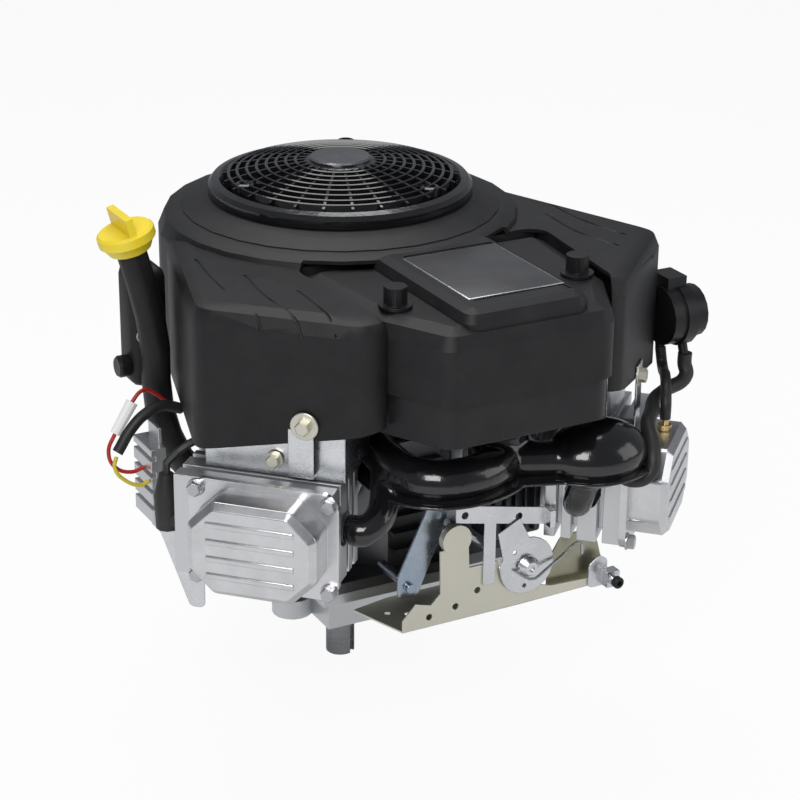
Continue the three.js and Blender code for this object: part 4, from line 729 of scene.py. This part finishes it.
@dataclass
class Cowl:
    """The blower housing, fan, flywheel and what they hide."""

    grooves: tuple = (
        ((-156, -58, 331), (-164, -120, 331), (-162, -182, 328), (-161, -190, 316)),
        ((-137, -108, 331), (-143, -160, 331), (-140, -204, 327), (-139, -214, 314)),
        ((-116, -158, 331), (-118, -198, 331), (-119, -218, 329), (-119, -230, 318)),
        ((165, -62, 331), (166, -111, 331), (180, -165, 328), (190, -186, 314)),
        ((148, -84, 331), (146, -134, 331), (158, -182, 329), (164, -204, 316)),
        ((183, -52, 331), (187, -96, 331), (198, -142, 326), (206, -158, 314)),
    )

    def carve(self, piece: bpy.types.Object) -> None:
        """Cuts the shallow grooves into the wings.

        Args:
            piece: The cowl.
        """
        cutters = []
        for count, route in enumerate(self.grooves):
            cutter = loose_tube(f"groove_{count}", list(route), 1.3)
            cut = piece.modifiers.new("groove", "BOOLEAN")
            cut.operation = "DIFFERENCE"
            cut.solver = "EXACT"
            cut.object = cutter
            cutters.append(cutter)
        settle(piece)
        for cutter in cutters:
            bpy.data.objects.remove(cutter)

    def build(self) -> None:
        """Makes the cowl and the pieces under it."""
        cowl = softened("blower_housing", GRAINED, 0)
        cowl.modifiers.clear()
        ease = cowl.modifiers.new("ease", "BEVEL")
        ease.width = 7.0 * MM
        ease.segments = 4
        ease.limit_method = "ANGLE"
        ease.angle_limit = math.radians(24.0)
        settle(cowl)
        self.carve(cowl)
        cowl.data.shade_smooth()
        cowl.data.set_sharp_from_angle(angle=math.radians(48.0))
        level_normals(cowl)
        root = math.sqrt(0.5)
        wall = Shape().block((-95, -109, 272), (123, -106.6, 329), 0.8)
        wall.block((124.8, -194, 258), (127.0, -107, 329), 0.8)
        wall.block((-98.9, -174, 258), (-96.7, -107, 329), 0.8)
        wall.finish("cowl_pocket_wall", GRAINED, BLOCK)
        fixings = Shape()
        fixings.bolt((-138.5, -215.5, 246), (-root, -root, 0), 6.0, 11.0)
        fixings.bolt((-151.5, -190.5, 212), (-root, -root, 0), 5.5, 7.0)
        fixings.bolt((159.5, -212.0, 232), (root, -root, 0), 6.0, 10.0)
        fixings.finish("cowl_fixings", YELLOW_ZINC, BLOCK)
        for node, finish in {
            "cooling_fan": MOULDED, "flywheel": CAST, "stator": COPPER, "ignition_coil_1": MOULDED,
            "ignition_coil_2": MOULDED,
        }.items():
            softened(node, finish, 0.4)


@dataclass
class AirCleaner:
    """The air cleaner's base, filter, lid and two knobs."""

    plate: tuple = ((-24.0, -256.0), (58.0, -154.0))

    def build(self) -> None:
        """Makes the air cleaner."""
        softened("air_cleaner_base", MOULDED, 1.0)
        softened("air_filter", PAPER, 0.2)
        softened("air_cleaner_cover", GRAINED, 6.0, 22.0)
        (x0, y0), (x1, y1) = self.plate
        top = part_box("air_cleaner_cover")[1][2] / MM
        trim = Shape()
        trim.block((x0, y0, top - 1.0), (x1, y1, top + 0.5), 0.4)
        trim.finish("name_plate_trim", SHEET, "air_cleaner_cover")
        blank = Shape()
        blank.block((x0 + 1.4, y0 + 1.4, top - 0.6), (x1 - 1.4, y1 - 1.4, top + 0.8), 0.3)
        blank.finish("name_plate_blank", GRAPHITE, "air_cleaner_cover")
        for count in (1, 2):
            softened(f"cover_knob_{count}", MOULDED, 1.0)


@dataclass
class Intake:
    """The manifold, carburettor and pump."""

    curl: tuple = ((-41, -140, 190), (-55, -190, 190), (-46, -232, 190), (-14, -244, 190), (28, -227, 190), (59, -200, 190))
    curl_radius: float = 17.0
    bulb: Point = (102, -243, 188)
    seam: float = 177.0
    fuel_route: tuple = (
        (231, -174.6, 225), (231, -174.6, 216), (230, -179, 207), (207, -184, 200), (190, -194, 199), (171, -217, 200),
        (152, -240, 199), (142, -264, 186), (136, -268, 172), (122, -262, 168), (114, -252, 176),
    )
    breather_route: tuple = (
        (187.5, -213, 189), (187.5, -213, 202), (193, -204, 210), (205, -185, 213), (219, -160, 212), (219, -156, 226),
    )

    def runner(self, bank: int, top: Point) -> bpy.types.Mesh:
        """Returns the pipe from a head's port up into the manifold.

        Args:
            bank: The bank.
            top: Its upper end.
        """
        return tube_mesh("runner", [bank_point(bank, 230, 80.6, 0), bank_point(bank, 230, 96, 0), top], 12.0)

    def manifold(self) -> None:
        """Makes the moulded manifold and the lip where its halves join."""
        bulb_radii = (43.0, 35.0, 27.0)
        upper = [
            tube_mesh("curl", list(self.curl), self.curl_radius), ball(self.bulb, bulb_radii),
            tube_mesh("neck", [self.curl[-2], (self.bulb[0] - 34, self.bulb[1] + 2, self.bulb[2])], 15.0),
            self.runner(1, self.curl[1]), self.runner(2, self.bulb),
            tube_mesh("riser", [(30, -214, 186), (30, -214, 215)], 24.0),
        ]
        body = fused("manifold_body", upper, 2.2, GLOSSY)
        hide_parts("intake_manifold")
        flat = [
            tube_mesh("curl", list(self.curl), self.curl_radius + 8.0),
            ball(self.bulb, (bulb_radii[0] + 5.0, bulb_radii[1] + 5.0, 26.0)),
            tube_mesh("neck", [self.curl[-2], (self.bulb[0] - 34, self.bulb[1] + 2, self.bulb[2])], 24.0),
        ]
        for mesh in flat:
            mesh.transform(Matrix.Translation((0, 0, self.seam * MM)) @ Matrix.Diagonal((1, 1, 0.16, 1))
                           @ Matrix.Translation((0, 0, -self.bulb[2] * MM)))
        fused("manifold_lip", flat, 1.4, GLOSSY)

    def build(self) -> None:
        """Makes the intake and fuel pieces."""
        self.manifold()
        softened("throttle_body", CAST, 0.6)
        softened("throttle_shaft", BRASS, 0.2)
        softened("fuel_pump", MOULDED, 1.5)
        softened("breather_nipple", BRASS, 0.4)
        tube("fuel_hose_smooth", list(self.fuel_route), 6.0, RUBBER, "fuel_hose")
        tube("breather_hose_smooth", list(self.breather_route), 4.5, RUBBER, "breather_hose")


@dataclass
class Controls:
    """The brackets, levers and links at the front."""

    eased: dict = field(default_factory=lambda: {
        "control_bracket": (YELLOW_ZINC, 0.6), "linkage_bracket": (SHEET, 0.5), "governor_lever": (BLUE_STEEL, 0.5),
        "throttle_control": (SHEET, 0.6), "control_link": (STEEL, 0.2), "quadrant_bracket": (OLIVE, 0.5),
        "cable_clamp": (SHEET, 0.6),
    })

    def build(self) -> None:
        """Makes the controls."""
        for node, (finish, edge) in self.eased.items():
            softened(node, finish, edge)
        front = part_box("throttle_control")[0][1] / MM
        boss = Shape().lathe([(0, 0), (9, 0), (7, 2.5), (5.5, 4), (3, 4), (3, 2), (0, 2)], (66, front + 1, 80), (0, -1, 0), 32)
        boss.finish("throttle_disc_boss", SHEET, "throttle_control")
        low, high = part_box("cable_clamp")
        middle = ((high[0] / MM) - 6.0, low[1] / MM, (low[2] + high[2]) / (2 * MM) - 6.0)
        screw = Shape().lathe([(0, 0), (5, 0), (5, 4), (4, 5), (2.4, 5), (2.4, 2.5), (0, 2.5)], middle, (0, -1, 0), 24)
        screw.finish("clamp_screw", GRAINED, BLOCK)


@dataclass
class Oiling:
    """The filler tube and its cap."""

    route: tuple = (
        (-92, 12, 96), (-105, 12, 97), (-150, -10, 136), (-179, -30, 200), (-185, -40, 262), (-192, -41, 300),
    )

    def build(self) -> None:
        """Makes the tube and the cap."""
        softened("oil_fill_tube", GRAINED, 0.6, 45.0)
        softened("oil_cap_dipstick", YELLOW, 1.2, 40.0)


@dataclass
class Wiring:
    """The wires, leads and connector on the left."""

    red: tuple = (
        (-176, -48, 207), (-190, -52, 221), (-202, -55, 228), (-213, -58, 221), (-229.5, -61, 198),
        (-236, -62, 184), (-231, -63, 170), (-218, -64, 164), (-207.4, -64, 166),
    )
    yellow: tuple = ((-231, -66, 180.5), (-234, -69, 173), (-226, -72, 161), (-214, -74, 156), (-207.4, -74, 158))
    sleeve: tuple = ((-170, -54, 206), (-188, -58, 213), (-203, -62, 211), (-216, -64, 202), (-230, -66, 184))

    def build(self) -> None:
        """Makes the wiring."""
        tube("red_wire_smooth", list(self.red), 1.6, RED, "red_wire")
        tube("yellow_wire_smooth", list(self.yellow), 1.6, YELLOW_WIRE, "yellow_wire")
        tube("harness_sleeve_smooth", list(self.sleeve), 4.5, RUBBER, "harness_sleeve")
        softened("wire_connector", CLEAR, 0.6)
        for bank in (1, 2):
            softened(f"spark_lead_{bank}", RUBBER, 0.4, 50.0)


@dataclass
class Studio:
    """The floor, the lamps and the camera."""

    azimuth: float = -26.8
    elevation: float = 22.6
    eye: Point = (-0.821, -1.625, 0.919)

    def floor(self) -> None:
        """Makes a pale floor that keeps a soft shadow."""
        shape = bmesh.new()
        bmesh.ops.create_grid(shape, x_segments=1, y_segments=1, size=40.0)
        bmesh.ops.translate(shape, vec=(0, 0, CAD_BOX[0][2] - 0.001), verts=shape.verts)
        data = bpy.data.meshes.new("floor")
        shape.to_mesh(data)
        shape.free()
        piece = bpy.data.objects.new("floor", data)
        bpy.context.scene.collection.objects.link(piece)
        graph = Graph("pale_floor")
        seen = graph.add("ShaderNodeLightPath", {}, {}, "Is Camera Ray")
        shader = graph.add("ShaderNodeBsdfDiffuse", {}, {"Color": (0.85, 0.85, 0.85, 1.0)})
        glow = graph.add("ShaderNodeEmission", {}, {"Color": (1, 1, 1, 1), "Strength": 1.0})
        graph.add_output(graph.add("ShaderNodeMixShader", {}, {0: seen * 0.93, 1: shader, 2: glow}))
        data.materials.append(graph.material)

    def world(self) -> None:
        """Makes a white surround that lights softly."""
        world = bpy.data.worlds.new("studio")
        bpy.context.scene.world = world
        world.use_nodes = True
        nodes, links = world.node_tree.nodes, world.node_tree.links
        nodes.clear()
        path = nodes.new("ShaderNodeLightPath")
        soft = nodes.new("ShaderNodeBackground")
        soft.inputs[0].default_value = (0.9, 0.93, 1.0, 1.0)
        soft.inputs[1].default_value = 0.24
        white = nodes.new("ShaderNodeBackground")
        white.inputs[1].default_value = 1.0
        white.inputs[0].default_value = (1, 1, 1, 1)
        mix = nodes.new("ShaderNodeMixShader")
        out = nodes.new("ShaderNodeOutputWorld")
        links.new(path.outputs["Is Camera Ray"], mix.inputs[0])
        links.new(soft.outputs[0], mix.inputs[1])
        links.new(white.outputs[0], mix.inputs[2])
        links.new(mix.outputs[0], out.inputs[0])

    def lamp(self, name: str, place_at: Point, power: float, size: float) -> None:
        """Adds one square soft lamp aimed at the engine.

        Args:
            name: The lamp's name.
            place_at: Where it stands, in metres.
            power: Its power, in watts.
            size: Its side, in metres.
        """
        light = bpy.data.lights.new(name, "AREA")
        light.energy = power
        light.size = size
        piece = bpy.data.objects.new(name, light)
        piece.location = place_at
        aim = Vector((0, -0.05, 0.2)) - Vector(place_at)
        piece.rotation_euler = aim.to_track_quat("-Z", "Y").to_euler()
        bpy.context.scene.collection.objects.link(piece)

    def camera(self) -> None:
        """Adds the camera."""
        lens = bpy.data.cameras.new("camera")
        lens.lens = 103.5
        lens.sensor_width = 36.0
        lens.shift_x = 0.075
        piece = bpy.data.objects.new("camera", lens)
        piece.location = self.eye
        azimuth, elevation = math.radians(self.azimuth), math.radians(self.elevation)
        back = Vector((
            math.sin(azimuth) * math.cos(elevation), -math.cos(azimuth) * math.cos(elevation), math.sin(elevation),
        ))
        piece.rotation_euler = (-back).to_track_quat("-Z", "Y").to_euler()
        bpy.context.scene.collection.objects.link(piece)
        bpy.context.scene.camera = piece

    def build(self) -> None:
        """Makes the studio."""
        self.floor()
        self.world()
        self.lamp("key", (-1.3, -1.6, 1.7), 34.0, 1.1)
        self.lamp("fill", (1.8, -1.4, 0.9), 9.0, 1.4)
        self.lamp("top", (0.1, 0.5, 1.9), 20.0, 1.4)
        bpy.context.scene.view_settings.view_transform = "Standard"
        self.camera()


HIDDEN = {
    "camshaft": STEEL, "piston_1": CAST, "piston_2": CAST, "connecting_rod_1": CAST, "connecting_rod_2": CAST,
    "governor_spring": STEEL,
}


def dress_hidden() -> None:
    """Gives every node that stays its own finish."""
    for node, finish in HIDDEN.items():
        slots = frame["nodes"][node].material_slots
        for slot in slots:
            slot.material = finish.make()


def write_sizes() -> None:
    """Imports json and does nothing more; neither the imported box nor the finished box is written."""
    import json


def main() -> None:
    """Builds the engine, piece by piece."""
    logging.basicConfig(level=logging.INFO)
    for part in (Studio(), Castings(), RockerCovers(), Screen(), Cowl(), AirCleaner(), Intake(), Controls(),
                 Oiling(), Wiring()):
        LOG.info("building %s", type(part).__name__)
        part.build()
    dress_hidden()
    write_sizes()


if __name__ == "__main__":
    main()
